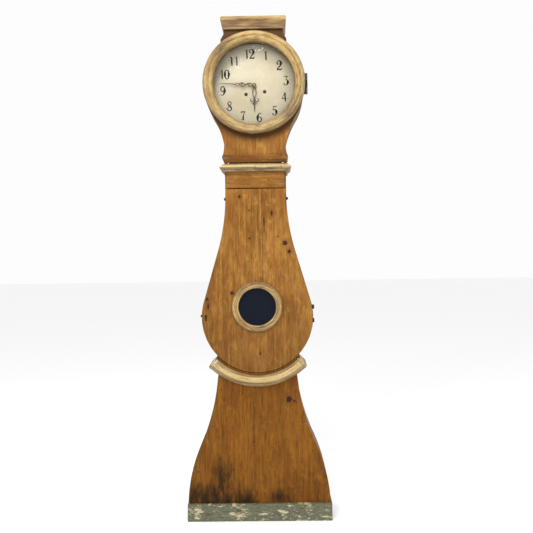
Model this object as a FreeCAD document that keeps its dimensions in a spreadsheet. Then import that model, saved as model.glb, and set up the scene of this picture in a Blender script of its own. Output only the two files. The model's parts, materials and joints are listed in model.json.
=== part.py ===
import FreeCAD, Part
import math
import os
import re
from FreeCAD import Vector

# Nordic longcase clock. Front faces -Y, +X is to the right seen from the front, +Z is up.
# The origin is on the floor, at the middle of the case's width and depth.

DIMENSIONS = {
    "plinth_top": 72, "plinth_half_width": 302, "case_front": -88,
    "case_back": 100, "board": 16, "side_board": 14, "back_board": 12, "plinth_board": 14,
    "waist_half_width": 125.5, "case_top": 1458, "belly_z": 852, "belly_radius": 232,
    "neck_top": 1371, "door_top": 1388, "door_thick": 16, "door_gap": 2, "frieze_bottom": 1392,
    "shoulder_radius": 861,
    "crescent_inner": 243, "crescent_outer": 290, "crescent_depth": 34, "crescent_half_angle": 43,
    "window_z": 895, "window_opening": 78, "window_outer": 105, "glass_thick": 3,
    "waist_moulding_top": 1493, "waist_nose": 149, "hood_bottom": 1497, "hood_front": -98,
    "hood_shoulder_z": 2045, "stud_z": 1350, "door_hinge_x": 236.5,
    "dial_z": 1823, "bezel_outer": 212, "bezel_opening": 168, "bezel_front": -140,
    "dial_radius": 176, "dial_back": -58, "dial_tilt": 7.5, "plate_thick": 3, "front_plate_back": -37,
    "back_plate_front": 20, "plate_half_width": 74, "plate_bottom_drop": 78, "plate_rise": 102,
    "barrel_x": 39.5, "barrel_drop": 31, "barrel_radius": 20, "seat_thick": 20, "weight_radius": 32,
    "weight_height": 190, "pulley_radius": 22, "bob_radius": 62,
    "pendulum_y": 40, "running_clearance": 0.08, "wall_screw_radius": 3,
}

doc = FreeCAD.newDocument("grandfather_clock")
sheet = doc.addObject("Spreadsheet::Sheet", "dims")
for row, (alias, value) in enumerate(DIMENSIONS.items(), start=1):
    sheet.set(f"A{row}", alias)
    sheet.set(f"B{row}", str(value))
    sheet.setAlias(f"B{row}", alias)
doc.recompute()

nodes = {}


def dim(alias):
    """The value of one driving dimension, read back from the sheet."""
    return float(sheet.get(alias))


def keep(feature, label):
    """Give a finished sub-part the name of its node."""
    feature.Label = label
    nodes[label] = feature
    return feature


def expression(text):
    """Turn a formula over dimension names into one that FreeCAD reads from the sheet."""
    return re.sub(r"[a-z]\w*", lambda word: f"dims.{word.group()}", text)


def bind(feature, **formulas):
    """Bind properties of a feature to formulas over the sheet."""
    for name, formula in formulas.items():
        feature.setExpression(name, expression(formula))


def place(feature, x="0", y="0", z="0"):
    """Bind the place of a feature to formulas over the sheet."""
    for axis, formula in (("x", x), ("y", y), ("z", z)):
        feature.setExpression(f"Placement.Base.{axis}", expression(formula))


def board(name, size, at):
    """A plain sawn board: its three sizes and its lowest corner, all formulas."""
    box = doc.addObject("Part::Box", name)
    bind(box, Length=size[0], Width=size[1], Height=size[2])
    place(box, *at)
    return box


def cylinder(name, radius, length, at, axis="Z"):
    """A round bar that starts at a point and runs along +X, +Y or +Z."""
    bar = doc.addObject("Part::Cylinder", name)
    bind(bar, Radius=radius, Height=length)
    turn = {"X": (Vector(0, 1, 0), 90), "Y": (Vector(1, 0, 0), -90), "Z": (Vector(0, 0, 1), 0)}[axis]
    bar.Placement.Rotation = FreeCAD.Rotation(*turn)
    place(bar, *at)
    return bar


def cut(name, base, *tools):
    """A piece with holes or recesses: the base less every tool."""
    for count, tool in enumerate(tools):
        result = doc.addObject("Part::Cut", f"{name}_cut{count}")
        result.Base = base
        result.Tool = tool
        base = result
    return base


def fuse(name, *shapes):
    """A piece made of several solids that touch, such as a spindle with its collars."""
    joined = doc.addObject("Part::MultiFuse", f"{name}_fuse")
    joined.Shapes = list(shapes)
    return joined


def together(name, *pieces):
    """Pieces of one kind, such as a left and a right board, kept as one node."""
    group = doc.addObject("Part::Compound", name)
    group.Links = list(pieces)
    return keep(group, name)


def solid_feature(name, shape, at=Vector(0, 0, 0)):
    """A shape worked out in code from the sheet's values, then put in its place."""
    feature = doc.addObject("Part::Feature", name)
    feature.Shape = shape
    feature.Placement.Base = at
    return feature


def plane_of(body, role):
    """One of a body's own origin planes."""
    return [f for f in body.Origin.OriginFeatures if f.Role == role][0]


def sketch_on(body, role, name, edges):
    """A closed outline on a body's origin plane. Each edge starts where the last one ended."""
    sketch = body.newObject("Sketcher::SketchObject", name)
    sketch.AttachmentSupport = (plane_of(body, role), [""])
    sketch.MapMode = "FlatFace"
    sketch.addGeometry(edges, False)
    return sketch


def path_edges(points):
    """Straight and curved edges through points (x, z). A point (x, z, bulge_x, bulge_z) ends an arc
    that passes through the bulge."""
    edges = []
    last = Vector(points[0][0], points[0][1], 0)
    for point in points[1:] + [points[0][:2]]:
        here = Vector(point[0], point[1], 0)
        if last.distanceToPoint(here) < 1e-6:
            continue
        if len(point) == 4:
            edges.append(Part.Arc(last, Vector(point[2], point[3], 0), here))
        else:
            edges.append(Part.LineSegment(last, here))
        last = here
    return edges


def front_board(name, points, thickness, front):
    """A board sawn to an outline in the XZ plane. Its front face is at y = front."""
    body = doc.addObject("PartDesign::Body", name)
    sketch = sketch_on(body, "XZ_Plane", f"{name}_outline", path_edges(points))
    pad = body.newObject("PartDesign::Pad", f"{name}_pad")
    pad.Profile = sketch
    pad.setExpression("Length", expression(thickness))
    pad.Reversed = True
    place(body, "0", front, "0")
    return body


def turned(name, points, axis="Y", at=("0", "0", "0")):
    """A turned piece: a closed profile (radius, along) revolved about an axis along Y or Z."""
    body = doc.addObject("PartDesign::Body", name)
    role = {"Y": "XY_Plane", "Z": "XZ_Plane"}[axis]
    sketch = sketch_on(body, role, f"{name}_profile", path_edges(points))
    revolution = body.newObject("PartDesign::Revolution", f"{name}_turn")
    revolution.Profile = sketch
    revolution.ReferenceAxis = (sketch, ["V_Axis"])
    revolution.Angle = 360
    place(body, *at)
    return body


def reversed_path(points):
    """The same path walked the other way."""
    walked = [points[-1][:2]]
    for start, end in zip(points[-2::-1], points[:0:-1]):
        walked.append(start[:2] + end[2:])
    return walked


def mirrored(points):
    """The same path on the other side of the middle plane."""
    return [tuple(-v if i % 2 == 0 else v for i, v in enumerate(p)) for p in points]


def shifted(points, dx):
    """The same path moved sideways."""
    return [tuple(v + dx if i % 2 == 0 else v for i, v in enumerate(p)) for p in points]


def symmetric(right):
    """A whole outline from its right half, which runs from the bottom up."""
    return right + mirrored(reversed_path(right))


def arc_to(centre_x, centre_z, radius, start, end):
    """The end of an arc about a centre, with the point halfway along it. Angles are in degrees."""
    spots = []
    for angle in (end, (start + end) / 2):
        turn = math.radians(angle)
        spots += [centre_x + radius * math.cos(turn), centre_z + radius * math.sin(turn)]
    return tuple(spots)


def dome_arc(radius, rise, rim_y, way):
    """A cap's arc from its rim to its crown on the axis, centred on the axis. It rises in the way given."""
    sphere = (radius ** 2 + rise ** 2) / (2 * rise)
    half = radius / 2
    drop = sphere - math.sqrt(sphere ** 2 - half ** 2)
    return rim_y + way * rise, half, rim_y + way * (rise - drop)


def side_strip(right, thickness):
    """The outline of a side board: the case's right edge, and the same edge moved inwards."""
    return right + reversed_path(shifted(right, -thickness))


FRONT = dim("case_front")
BACK = dim("case_back")
BOARD = dim("board")
SIDE = dim("side_board")
BELLY_Z = dim("belly_z")
BELLY_R = dim("belly_radius")
WAIST = dim("waist_half_width")
PROUD = 2.1
PLINTH_TOP = dim("plinth_top")
SLOPE_START = 16.7

# The base's right edge, from the plinth up to the crescent moulding.
base_edge = [(297, PLINTH_TOP), (241, 313, 281.5, 190), (172, 540, 200, 420), (163, 610), (166, 690)]


def neck_x(level):
    """Half the width of the hollow neck at a height. Its arc becomes upright at the neck's top."""
    radius = dim("shoulder_radius")
    return WAIST + radius - math.sqrt(radius ** 2 - (dim("neck_top") - level) ** 2)


def trunk_edge(extra, top):
    """The trunk's right edge: belly, straight slope and hollow neck, moved out by extra."""
    low = arc_to(0, BELLY_Z, BELLY_R + extra, -42, -42)[:2]
    belly = arc_to(0, BELLY_Z, BELLY_R + extra, -42, SLOPE_START)
    neck = (WAIST + extra, dim("neck_top"), neck_x(1235) + extra, 1235)
    return [low, belly, (neck_x(1110) + extra, 1110), neck, (WAIST + extra, top)]


keep(board("floor_board", ("2*plinth_half_width-2*plinth_board", "case_back-back_board-case_front", "board"),
           ("-plinth_half_width+plinth_board", "case_front", "0")), "floor_board")

plinth = board("plinth_front", ("2*plinth_half_width", "plinth_board", "plinth_top"),
               ("-plinth_half_width", "case_front-plinth_board", "0"))
keep(plinth, "plinth_front")
together("plinth_sides", *[
    board("plinth_side", ("plinth_board", "case_back-case_front", "plinth_top"), (start, "case_front", "0"))
    for start in ("-plinth_half_width", "plinth_half_width-plinth_board")])

# The lower front board: flared edges, and a round top that the trunk door's lower edge meets.
CRADLE_R = BELLY_R + 2.5
cradle_start = -math.degrees(math.acos(160 / CRADLE_R))
cradle = arc_to(0, BELLY_Z, CRADLE_R, cradle_start, -90)
base_top = (160, BELLY_Z + CRADLE_R * math.sin(math.radians(cradle_start)))
keep(front_board("base_front_panel", symmetric(base_edge[:4] + [base_top, cradle]), "board", "case_front"),
     "base_front_panel")

SIDE_DEPTH = "case_back-back_board-case_front-board"
LEFT_PROUD = 5
base_strip = side_strip(base_edge, SIDE)
trunk_strip = side_strip(trunk_edge(PROUD, dim("case_top")), SIDE)
together("base_sides",
         front_board("base_side_right", base_strip, SIDE_DEPTH, "case_front+board"),
         front_board("base_side_left", mirrored(shifted(base_strip, LEFT_PROUD)), SIDE_DEPTH,
                     "case_front+board"))
together("trunk_sides",
         front_board("trunk_side_right", trunk_strip, SIDE_DEPTH, "case_front+board"),
         front_board("trunk_side_left", mirrored(trunk_strip), SIDE_DEPTH, "case_front+board"))

# The back board runs the whole height behind the case and the hood.
hood_back_half = 112
back_foot = dim("plinth_half_width") - dim("plinth_board")
back_edge = [(back_foot, 0), (back_foot, PLINTH_TOP)] + base_edge + trunk_edge(PROUD, dim("case_top"))
back_edge += [(hood_back_half, dim("hood_bottom")), (hood_back_half, 2040)]
back = front_board("back_board_blank", symmetric(back_edge), "back_board", "case_back-back_board")
screw = cylinder("wall_screw_hole", "wall_screw_radius", "3*back_board",
                 ("0", "case_back-2*back_board", "1990"), "Y")
keep(cut("back_board", back, screw), "back_board")

# The crescent: a sawn and carved arc under the door. Its section is a fillet, a lit slope and an undercut.
inner = dim("crescent_inner")
outer = dim("crescent_outer")
depth = dim("crescent_depth")
section = [(inner, 0), (inner, -depth * 0.62), (inner + 4, -depth * 0.68),
           (inner + 12, -depth * 0.97, inner + 7, -depth * 0.9),
           (inner + 24, -depth, inner + 18, -depth * 1.02),
           (inner + 33, -depth * 0.72, inner + 30, -depth * 0.88), (outer, -depth * 0.2), (outer, 0)]
crescent = doc.addObject("PartDesign::Body", "crescent_moulding")
crescent_sketch = sketch_on(crescent, "XY_Plane", "crescent_section", path_edges(section))
crescent_turn = crescent.newObject("PartDesign::Revolution", "crescent_turn")
crescent_turn.Profile = crescent_sketch
crescent_turn.ReferenceAxis = (crescent_sketch, ["V_Axis"])
crescent_turn.setExpression("Angle", expression("2*crescent_half_angle"))
crescent.Placement = FreeCAD.Placement(
    Vector(0, FRONT, BELLY_Z), FreeCAD.Rotation(Vector(0, 1, 0), 90 - dim("crescent_half_angle")))

# Its two returns run back along the sides of the base.
ROOT = 166.2
return_end = [(ROOT, 674.6), (ROOT, 677), (176, 679), (204, 650), (198.2, 640.4)]
left_end = [(ROOT + LEFT_PROUD, 674.6), (ROOT + LEFT_PROUD, 677)] + return_end[2:]
together("crescent_moulding", crescent, front_board("return_right", return_end, "170", "case_front-24"),
         front_board("return_left", mirrored(left_end), "170", "case_front-24"))

FRIEZE_HALF = 121.5
frieze_edge = [(FRIEZE_HALF, dim("frieze_bottom")), (FRIEZE_HALF, dim("case_top"))]
keep(front_board("frieze_rail", symmetric(frieze_edge), "board", "case_front"), "frieze_rail")

# Waist moulding: a lit chamfer above and an undercut below, mitred round three sides.
NOSE = dim("waist_nose")
CASE_TOP = dim("case_top")
MOULDING_TOP = dim("waist_moulding_top")


def frame_moulding(name, profile, half_width, front, back):
    """A mitred moulding round the front and both sides. The profile runs (out, z) from the wall."""
    lofts = []
    for lower, upper in zip(profile[:-1], profile[1:]):
        wires = []
        for out, z in (lower, upper):
            x, y = half_width + out, front - out
            wires.append(Part.makePolygon([Vector(-x, y, z), Vector(x, y, z), Vector(x, back, z),
                                           Vector(-x, back, z), Vector(-x, y, z)]))
        lofts.append(Part.makeLoft(wires, True, True))
    return solid_feature(name, lofts[0].multiFuse(lofts[1:]).removeSplitter())


def hollow_moulding(name, profile, half_width, front, back, wall):
    """The same moulding with the space for the case cut out, so that it is a three-sided frame."""
    blank = frame_moulding(f"{name}_blank", profile, half_width, front, back)
    low = min(z for _, z in profile)
    high = max(z for _, z in profile)
    core = doc.addObject("Part::Box", f"{name}_core")
    core.Length = 2 * (half_width - wall)
    core.Width = back - front - wall + 10
    core.Height = high - low + 20
    core.Placement.Base = Vector(-half_width + wall, front + wall, low - 10)
    return cut(name, blank, core)


WAIST_HALF = 127.6
reach = NOSE - WAIST_HALF
waist_profile = [(0, CASE_TOP), (reach * 0.45, CASE_TOP + 3), (reach * 0.45, CASE_TOP + 10),
                 (reach, CASE_TOP + 18), (reach, CASE_TOP + 21), (reach * 0.35, MOULDING_TOP - 3),
                 (reach * 0.3, MOULDING_TOP)]
keep(hollow_moulding("waist_moulding", waist_profile, WAIST_HALF, FRONT, BACK - 12, 12), "waist_moulding")

# Inside the top: two cheeks stand on the trunk sides and carry the seat board of the movement.
SEAT_TOP = dim("dial_z") - dim("plate_bottom_drop")
together("seat_cheeks", *[
    board("seat_cheek", ("14", "110", "dial_z-plate_bottom_drop-seat_thick-1400"), (start, "-42", "1400"))
    for start in ("-112", "98")])
seat = board("seat_board_blank", ("224", "110", "seat_thick"),
             ("-112", "-42", "dial_z-plate_bottom_drop-seat_thick"))
SLOT_LOW = "dial_z-plate_bottom_drop-seat_thick-10"
slots = [board("line_slot", ("30", "40", "seat_thick+20"), (start, "-32", SLOT_LOW))
         for start in ("-72", "49")]
rod_slot = board("rod_slot", ("60", "26", "seat_thick+20"), ("-30", "pendulum_y-13", SLOT_LOW))
keep(cut("seat_board", seat, *slots, rod_slot), "seat_board")

# Two round-headed iron studs stand out of the trunk sides, near the top.
STUD_R = 7.5
STUD_Y = -40
STUD_Z = dim("stud_z")
STUD_ROOT = WAIST + PROUD + 1
studs = []
for side in (-1, 1):
    head = doc.addObject("Part::Sphere", "stud_head")
    head.Radius = STUD_R
    head.Placement.Base = Vector(side * STUD_ROOT, STUD_Y, STUD_Z)
    half = doc.addObject("Part::Box", "stud_half")
    half.Length, half.Width, half.Height = 2 * STUD_R, 3 * STUD_R, 3 * STUD_R
    half_low = Vector(side * (STUD_ROOT + STUD_R) - STUD_R, STUD_Y - 1.5 * STUD_R, STUD_Z - 1.5 * STUD_R)
    half.Placement.Base = half_low
    dome = doc.addObject("Part::Common", "stud_dome")
    dome.Base = head
    dome.Tool = half
    studs.append(dome)

# Trunk door: the whole belly front in one board, with the turned window ring and its glass.
door_edge = [(0, BELLY_Z - BELLY_R), arc_to(0, BELLY_Z, BELLY_R, -90, SLOPE_START), (neck_x(1110), 1110),
             (WAIST, dim("neck_top"), neck_x(1235), 1235), (WAIST, dim("door_top"))]
door_blank = front_board("door_blank", symmetric(door_edge), "door_thick-door_gap", "case_front")
window = cylinder("window_hole", "window_opening+4", "60", ("0", "case_front-20", "window_z"), "Y")
keep(cut("door_panel", door_blank, window), "door_panel")

hole = dim("window_opening")
ring_out = dim("window_outer")
ring_profile = [(hole, 0), (hole, -5), (hole + 8, -11, hole + 2, -10), (hole + 14, -7), (ring_out - 9, -8),
                (ring_out, -4, ring_out - 3.5, -9.5), (ring_out, 0)]
keep(turned("door_ring", ring_profile, "Y", ("0", "case_front", "window_z")), "door_ring")
pane = cylinder("door_glass", "window_opening+3.5", "glass_thick", ("0", "case_front+4", "window_z"), "Y")
keep(pane, "door_glass")
together("door_battens", *[
    board("door_batten", ("300", "14", "45"), ("-150", "case_front+door_thick-door_gap", height))
    for height in ("window_z+110", "window_z-150")])

# Hood: it slides forwards off the case. Its edge flares at the foot, narrows, and swells round the dial.
DIAL_Z = dim("dial_z")
HOOD_FRONT = dim("hood_front")
HEAD_R = 208
SHOULDER_X = 136.7
head_high = math.degrees(math.acos(SHOULDER_X / HEAD_R))
HOOD_BOTTOM = dim("hood_bottom")
hood_edge = [(129, HOOD_BOTTOM), (137.5, HOOD_BOTTOM + 20), (127.6, 1572, 130, 1544), (182, 1707, 146, 1636),
             (HEAD_R, DIAL_Z, 202, 1762), arc_to(0, DIAL_Z, HEAD_R, 0, head_high), (SHOULDER_X, 2007),
             (122.4, 2031), (122.4, dim("hood_shoulder_z"))]
hood_blank = front_board("hood_front_blank", symmetric(hood_edge), "14", "hood_front")
dial_hole = cylinder("dial_opening", "bezel_opening+2", "60", ("0", "hood_front-20", "dial_z"), "Y")
keep(cut("hood_front_board", hood_blank, dial_hole), "hood_front_board")
hood_strip = side_strip(hood_edge[:-1], 11)
HOOD_DEPTH = "case_back-back_board-hood_front-16"
together("hood_sides", front_board("hood_side_right", hood_strip, HOOD_DEPTH, "hood_front+14"),
         front_board("hood_side_left", mirrored(hood_strip), HOOD_DEPTH, "hood_front+14"))
keep(board("hood_top_board", ("222.8", HOOD_DEPTH, "13"), ("-111.4", "hood_front+14", "2032")),
     "hood_top_board")

# The hood's foot: a rail with a bevel above and a cove below, on three sides.
foot_edge = [(129, HOOD_BOTTOM), (137, HOOD_BOTTOM + 20), (135, HOOD_BOTTOM + 30)]
foot_rail = front_board("hood_foot_blank", symmetric(foot_edge), "8", "hood_front-8")
keep(foot_rail, "hood_foot_rail")

# Cornice: fillet, groove, big cove and top bead.
cornice_profile = [(0, 2045), (3, 2047), (3, 2054), (5, 2056), (6, 2062), (9, 2072), (13, 2082), (13, 2092),
                   (9, 2097), (0.5, 2100)]
keep(hollow_moulding("cornice", cornice_profile, 122.5, HOOD_FRONT - 8, BACK - 14, 30), "cornice")

# Bezel: an outer roll and an inner hollow, with a domed glass behind it.
rim = dim("bezel_opening")
rim_out = dim("bezel_outer")
face = dim("bezel_front") - HOOD_FRONT
LEAF_ROOM = 3
bezel_profile = [(rim, -LEAF_ROOM), (rim, face * 0.28), (rim + 20, face * 0.8, rim + 7, face * 0.66),
                 (rim + 24, face * 0.92), (rim + 32, face, rim + 28, face * 0.98),
                 (rim_out, face * 0.5, rim_out - 4, face * 0.84), (rim_out - 3, -LEAF_ROOM)]
keep(turned("bezel_ring", bezel_profile, "Y", ("0", "hood_front", "dial_z")), "bezel_ring")
glass_r = rim - 0.3
GLASS_RISE = 24
GLASS_SHEET = 2.2
front_crown, front_half, front_mid = dome_arc(glass_r, GLASS_RISE, -GLASS_SHEET, -1)
back_crown, back_half, back_mid = dome_arc(glass_r, GLASS_RISE, 0, -1)
glass_profile = [(0, back_crown), (0, front_crown), (glass_r, -GLASS_SHEET, front_half, front_mid),
                 (glass_r, 0), (0, back_crown, back_half, back_mid)]
keep(turned("bezel_glass", glass_profile, "Y", ("0", "hood_front-1", "dial_z")), "bezel_glass")

# Nails: round clout heads, all alike, in the boards' faces.
NAIL_R = 4.5


def nails(spots, front):
    """Nail heads standing one millimetre out of a board's face at points (x, z)."""
    heads = []
    for x, z in spots:
        head = doc.addObject("Part::Cylinder", "nail_head")
        head.Radius = NAIL_R
        head.Height = 1
        head.Placement = FreeCAD.Placement(Vector(x, front - 1, z), FreeCAD.Rotation(Vector(1, 0, 0), -90))
        heads.append(head)
    return heads


BASE_NAILS = [(-190, 396), (-200, 324), (-256, 207), (190, 413), (262, 206)]
FRIEZE_NAILS = [(-111, 1418), (113, 1414)]
together("case_nails", *nails(BASE_NAILS + FRIEZE_NAILS, FRONT))

# Butt hinges. Each has two leaves with knuckles in turn along the pin.
CLEAR = dim("running_clearance")


def butt_hinge(name, pin_x, pin_y, centres, height, leaf, gap, knuckle_r):
    """Leaves lie in the gap between a case board and what swings on it. The pin belongs to the fixed leaf."""
    fixed, moving = [], []
    pin_r = knuckle_r / 2
    third = height / 3
    for centre in centres:
        for index in range(3):
            low = centre - height / 2 + index * third
            knuckle = Part.makeCylinder(knuckle_r, third - 0.4, Vector(pin_x, pin_y, low + 0.2))
            bore = Part.makeCylinder(pin_r, height, Vector(pin_x, pin_y, centre - height / 2))
            y_fixed = pin_y + gap / 2
            y_moving = pin_y - gap / 2 - 0.8
            tab_low = Vector(pin_x - knuckle_r - 1.2, 0, low + 0.2)
            if index == 1:
                wide = Part.makeCylinder(pin_r + CLEAR, height, Vector(pin_x, pin_y, centre - height / 2))
                tab = Part.makeBox(knuckle_r + 0.6, 0.8, third - 0.4, tab_low + Vector(0, y_moving, 0))
                moving.append(knuckle.fuse(tab).cut(wide))
            else:
                tab = Part.makeBox(knuckle_r + 0.6, 0.8, third - 0.4, tab_low + Vector(0, y_fixed, 0))
                fixed.append(knuckle.fuse(tab).cut(bore))
        plate_x = pin_x - knuckle_r - 0.6 - leaf
        fixed.append(Part.makeBox(leaf, 0.8, height, Vector(plate_x, y_fixed, centre - height / 2)))
        moving.append(Part.makeBox(leaf, 0.8, height, Vector(plate_x, y_moving, centre - height / 2)))
        fixed.append(Part.makeCylinder(pin_r, height - 0.4, Vector(pin_x, pin_y, centre - height / 2 + 0.2)))
    return [solid_feature(f"{name}_{which}", shapes[0].multiFuse(shapes[1:]))
            for which, shapes in (("fixed", fixed), ("moving", moving))]


case_leaves, door_leaves = butt_hinge("door_hinge", dim("door_hinge_x"), FRONT + BOARD - 1, (835, 892),
                                      18, 24, 0.4, 2.3)
hood_leaf, ring_leaf = butt_hinge("bezel_hinge", 217.5, HOOD_FRONT - LEAF_ROOM / 2, (1818,), 87, 22, 0.4, 4.2)
keep(ring_leaf, "bezel_hinge_leaf")
foot_nails = nails([(-114, HOOD_BOTTOM + 19), (119, HOOD_BOTTOM + 25)], HOOD_FRONT - 8)
together("hood_ironwork", hood_leaf, *foot_nails)

# Door catch: a hook that hangs from the door's left edge and turns up into an eye on the case side.
HOOK_X = -216
HOOK_Z = 859
HOOK_FRONT = FRONT - 2.4
HOOK_PIN_R = 1.6
HOOK_REACH = 20
ALONG_Y = Vector(0, 1, 0)
arm = Part.makeCylinder(4.5, 2, Vector(HOOK_X, HOOK_FRONT, HOOK_Z), ALONG_Y)
arm = arm.fuse(Part.makeBox(6, 2, HOOK_REACH, Vector(HOOK_X - 3, HOOK_FRONT, HOOK_Z - HOOK_REACH)))
arm = arm.cut(Part.makeCylinder(HOOK_PIN_R + CLEAR, 6, Vector(HOOK_X, HOOK_FRONT - 2, HOOK_Z), ALONG_Y))
keep(solid_feature("door_hook", arm.removeSplitter()), "door_hook")
screw_shank = Part.makeCylinder(HOOK_PIN_R, 3, Vector(HOOK_X, HOOK_FRONT - 0.6, HOOK_Z), ALONG_Y)
screw_cap = Part.makeCylinder(3.2, 1.4, Vector(HOOK_X, HOOK_FRONT - 2, HOOK_Z), ALONG_Y)
together("door_ironwork", door_leaves, solid_feature("hook_screw", screw_shank.fuse(screw_cap)))
eye = Part.makeBox(2.4, 24, 9, Vector(-236.6, HOOK_FRONT - 2, HOOK_Z - 4.5))
eye = eye.cut(Part.makeBox(6, 3.2, 9, Vector(-238.6, HOOK_FRONT - 0.6, HOOK_Z - 5.6)))
together("case_ironwork", case_leaves, solid_feature("hook_eye", eye), *studs)

# Movement. Places are measured from the dial's centre and turned with the dial, which sits a little askew.
TILT = math.radians(dim("dial_tilt"))
PLATE = dim("plate_thick")
FRONT_PLATE = dim("front_plate_back")
BACK_PLATE = dim("back_plate_front")


def spot(across, up):
    """A place on the movement as (x, z) in the clock."""
    x = across * math.cos(TILT) - up * math.sin(TILT)
    z = across * math.sin(TILT) + up * math.cos(TILT)
    return x, DIAL_Z + z


BARREL_X = dim("barrel_x")
BARREL_DROP = dim("barrel_drop")
CENTRE = spot(0, 0)
GOING = spot(BARREL_X, -BARREL_DROP)
STRIKE = spot(-BARREL_X, -BARREL_DROP)
THIRD = spot(10, 27.1)
ESCAPE = spot(0, 50.2)
ANCHOR = (0, DIAL_Z + 84)
PIN_WHEEL = spot(-36, 13)
HOOP = spot(-36, 43.6)
WARNING = spot(-50, 62)
FLY = spot(-36, 75)
MINUTE = spot(-19, -13)
HAMMER = spot(-58, 34)
ARBOR_R = 1.6
FLY_ARBOR_R = 1.1
FINE_PIVOT = 0.9
PIVOT_CLEAR = 0.08


def disc(where, radius, front, back):
    """A round bar along Y between two depths."""
    return Part.makeCylinder(radius, back - front, Vector(where[0], front, where[1]), Vector(0, 1, 0))


def distance(first, second):
    return math.hypot(second[0] - first[0], second[1] - first[1])


def direction(first, second):
    """The angle from one arbor to another, in radians from +X towards +Z."""
    return math.atan2(second[1] - first[1], second[0] - first[0])


WHEEL_TOOTH = ((-0.24, -1.15), (-0.2, 0.2), (-0.07, 0.9), (0.07, 0.9), (0.2, 0.2), (0.24, -1.15))
PINION_LEAF = ((-0.18, -1.35), (-0.16, 0.1), (-0.05, 0.6), (0.05, 0.6), (0.16, 0.1), (0.18, -1.35))


def toothed(where, teeth, module, front, back, phase, form):
    """A toothed disc. A tooth's centre line points along the phase angle."""
    points = []
    for tooth in range(teeth):
        for share, height in form:
            angle = phase + (tooth + share) * 2 * math.pi / teeth
            radius = module * (teeth / 2 + height)
            x = where[0] + radius * math.cos(angle)
            z = where[1] + radius * math.sin(angle)
            points.append(Vector(x, front, z))
    face = Part.Face(Part.makePolygon(points + points[:1]))
    return face.extrude(Vector(0, back - front, 0))


def crossed(blank, where, hub, rim_radius, front, back, spokes=4):
    """Cut the crossings out of a wheel, so that it has a hub, a rim and spokes."""
    ring = disc(where, rim_radius, front - 1, back + 1).cut(disc(where, hub, front - 2, back + 2))
    for spoke in range(spokes):
        bar = Part.makeBox(2 * rim_radius, back - front + 4, 4, Vector(0, front - 2, -2))
        bar.rotate(Vector(0, 0, 0), Vector(0, 1, 0), 360 * spoke / spokes + 12)
        bar.translate(Vector(where[0], 0, where[1]))
        ring = ring.cut(bar)
    return blank.cut(ring)


def meshing_phase(wheel, pinion, wheel_teeth, wheel_phase, pinion_teeth):
    """The pinion's phase that puts one of its gaps opposite the wheel's tooth on the line of centres."""
    line = direction(wheel, pinion)
    past = (line - wheel_phase) * wheel_teeth / (2 * math.pi)
    offset = past - round(past)
    return line + math.pi + math.pi / pinion_teeth + offset * 2 * math.pi / pinion_teeth


def arbor(where, front, back, radius, pivot):
    """A spindle that runs in both plates: a stout middle with a thin pivot at each end."""
    shaft = disc(where, radius, FRONT_PLATE + 0.4, BACK_PLATE - 0.4)
    pivots = disc(where, pivot, front, back)
    return shaft.fuse(pivots)


def spindle(name, where, parts, pivot=FINE_PIVOT, radius=ARBOR_R):
    """An arbor with its wheel and pinion, as one rigid piece."""
    shaft = arbor(where, FRONT_PLATE - PLATE, BACK_PLATE + PLATE, radius, pivot)
    whole = shaft.multiFuse(parts)
    return keep(solid_feature(name, whole), name)


# Dial: painted iron sheet with two winding holes and a centre hole, on four feet.
dial = cylinder("dial_blank", "dial_radius", "1.2", ("0", "dial_back-1.2", "dial_z"), "Y")
DIAL_HOLES = ((GOING, 6.5), (STRIKE, 6.5), (CENTRE, 9))
hole_tools = []
for where, radius in DIAL_HOLES:
    tool = doc.addObject("Part::Cylinder", "dial_hole")
    tool.Radius, tool.Height = radius, 20
    tool_start = Vector(where[0], dim("dial_back") - 10, where[1])
    tool.Placement = FreeCAD.Placement(tool_start, FreeCAD.Rotation(Vector(1, 0, 0), -90))
    hole_tools.append(tool)
keep(cut("dial_plate", dial, *hole_tools), "dial_plate")
DIAL_BACK = dim("dial_back")
FEET = [spot(x, y) for x in (-52, 52) for y in (-62, 84)]
feet = [disc(foot, 3, DIAL_BACK, FRONT_PLATE - PLATE) for foot in FEET]

# Plates and the pillars between them.
PLATE_HALF = dim("plate_half_width")
PLATE_LOW = DIAL_Z - dim("plate_bottom_drop")
PLATE_HIGH = DIAL_Z + dim("plate_rise")
TRAIN = (GOING, STRIKE, CENTRE, THIRD, ESCAPE, PIN_WHEEL, HOOP, WARNING, FLY, HAMMER, ANCHOR)
BIG_PIVOT = 3
PIVOTS = {GOING: BIG_PIVOT, STRIKE: BIG_PIVOT, CENTRE: 2.0}
CORNERS = [(-PLATE_HALF + 6, PLATE_LOW + 6), (PLATE_HALF - 6, PLATE_LOW + 6),
           (-50, PLATE_HIGH - 8), (50, PLATE_HIGH - 8)]


def plate(name, front):
    """A brass plate with a running hole for every pivot."""
    blank = Part.makeBox(2 * PLATE_HALF, PLATE, PLATE_HIGH - PLATE_LOW, Vector(-PLATE_HALF, front, PLATE_LOW))
    for where in TRAIN:
        hole = PIVOTS.get(where, FINE_PIVOT) + PIVOT_CLEAR
        blank = blank.cut(disc(where, hole, front - 1, front + PLATE + 1))
    return blank


front_plate = plate("front_plate", FRONT_PLATE - PLATE)
minute_stud = disc(MINUTE, 1.5, -50, FRONT_PLATE - PLATE)
keep(solid_feature("front_plate", front_plate.fuse(minute_stud)), "front_plate")
back_plate = plate("back_plate", BACK_PLATE)
back_plate = back_plate.cut(Part.makeBox(14, 20, 40, Vector(-7, BACK_PLATE - 8, ANCHOR[1] - 16)))
pillars = [disc(corner, 4, FRONT_PLATE, BACK_PLATE).fuse(disc(corner, 5.5, -12, -5)) for corner in CORNERS]
keep(solid_feature("pillars_and_dial_feet", Part.makeCompound(pillars + feet)), "pillars_and_dial_feet")

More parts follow.
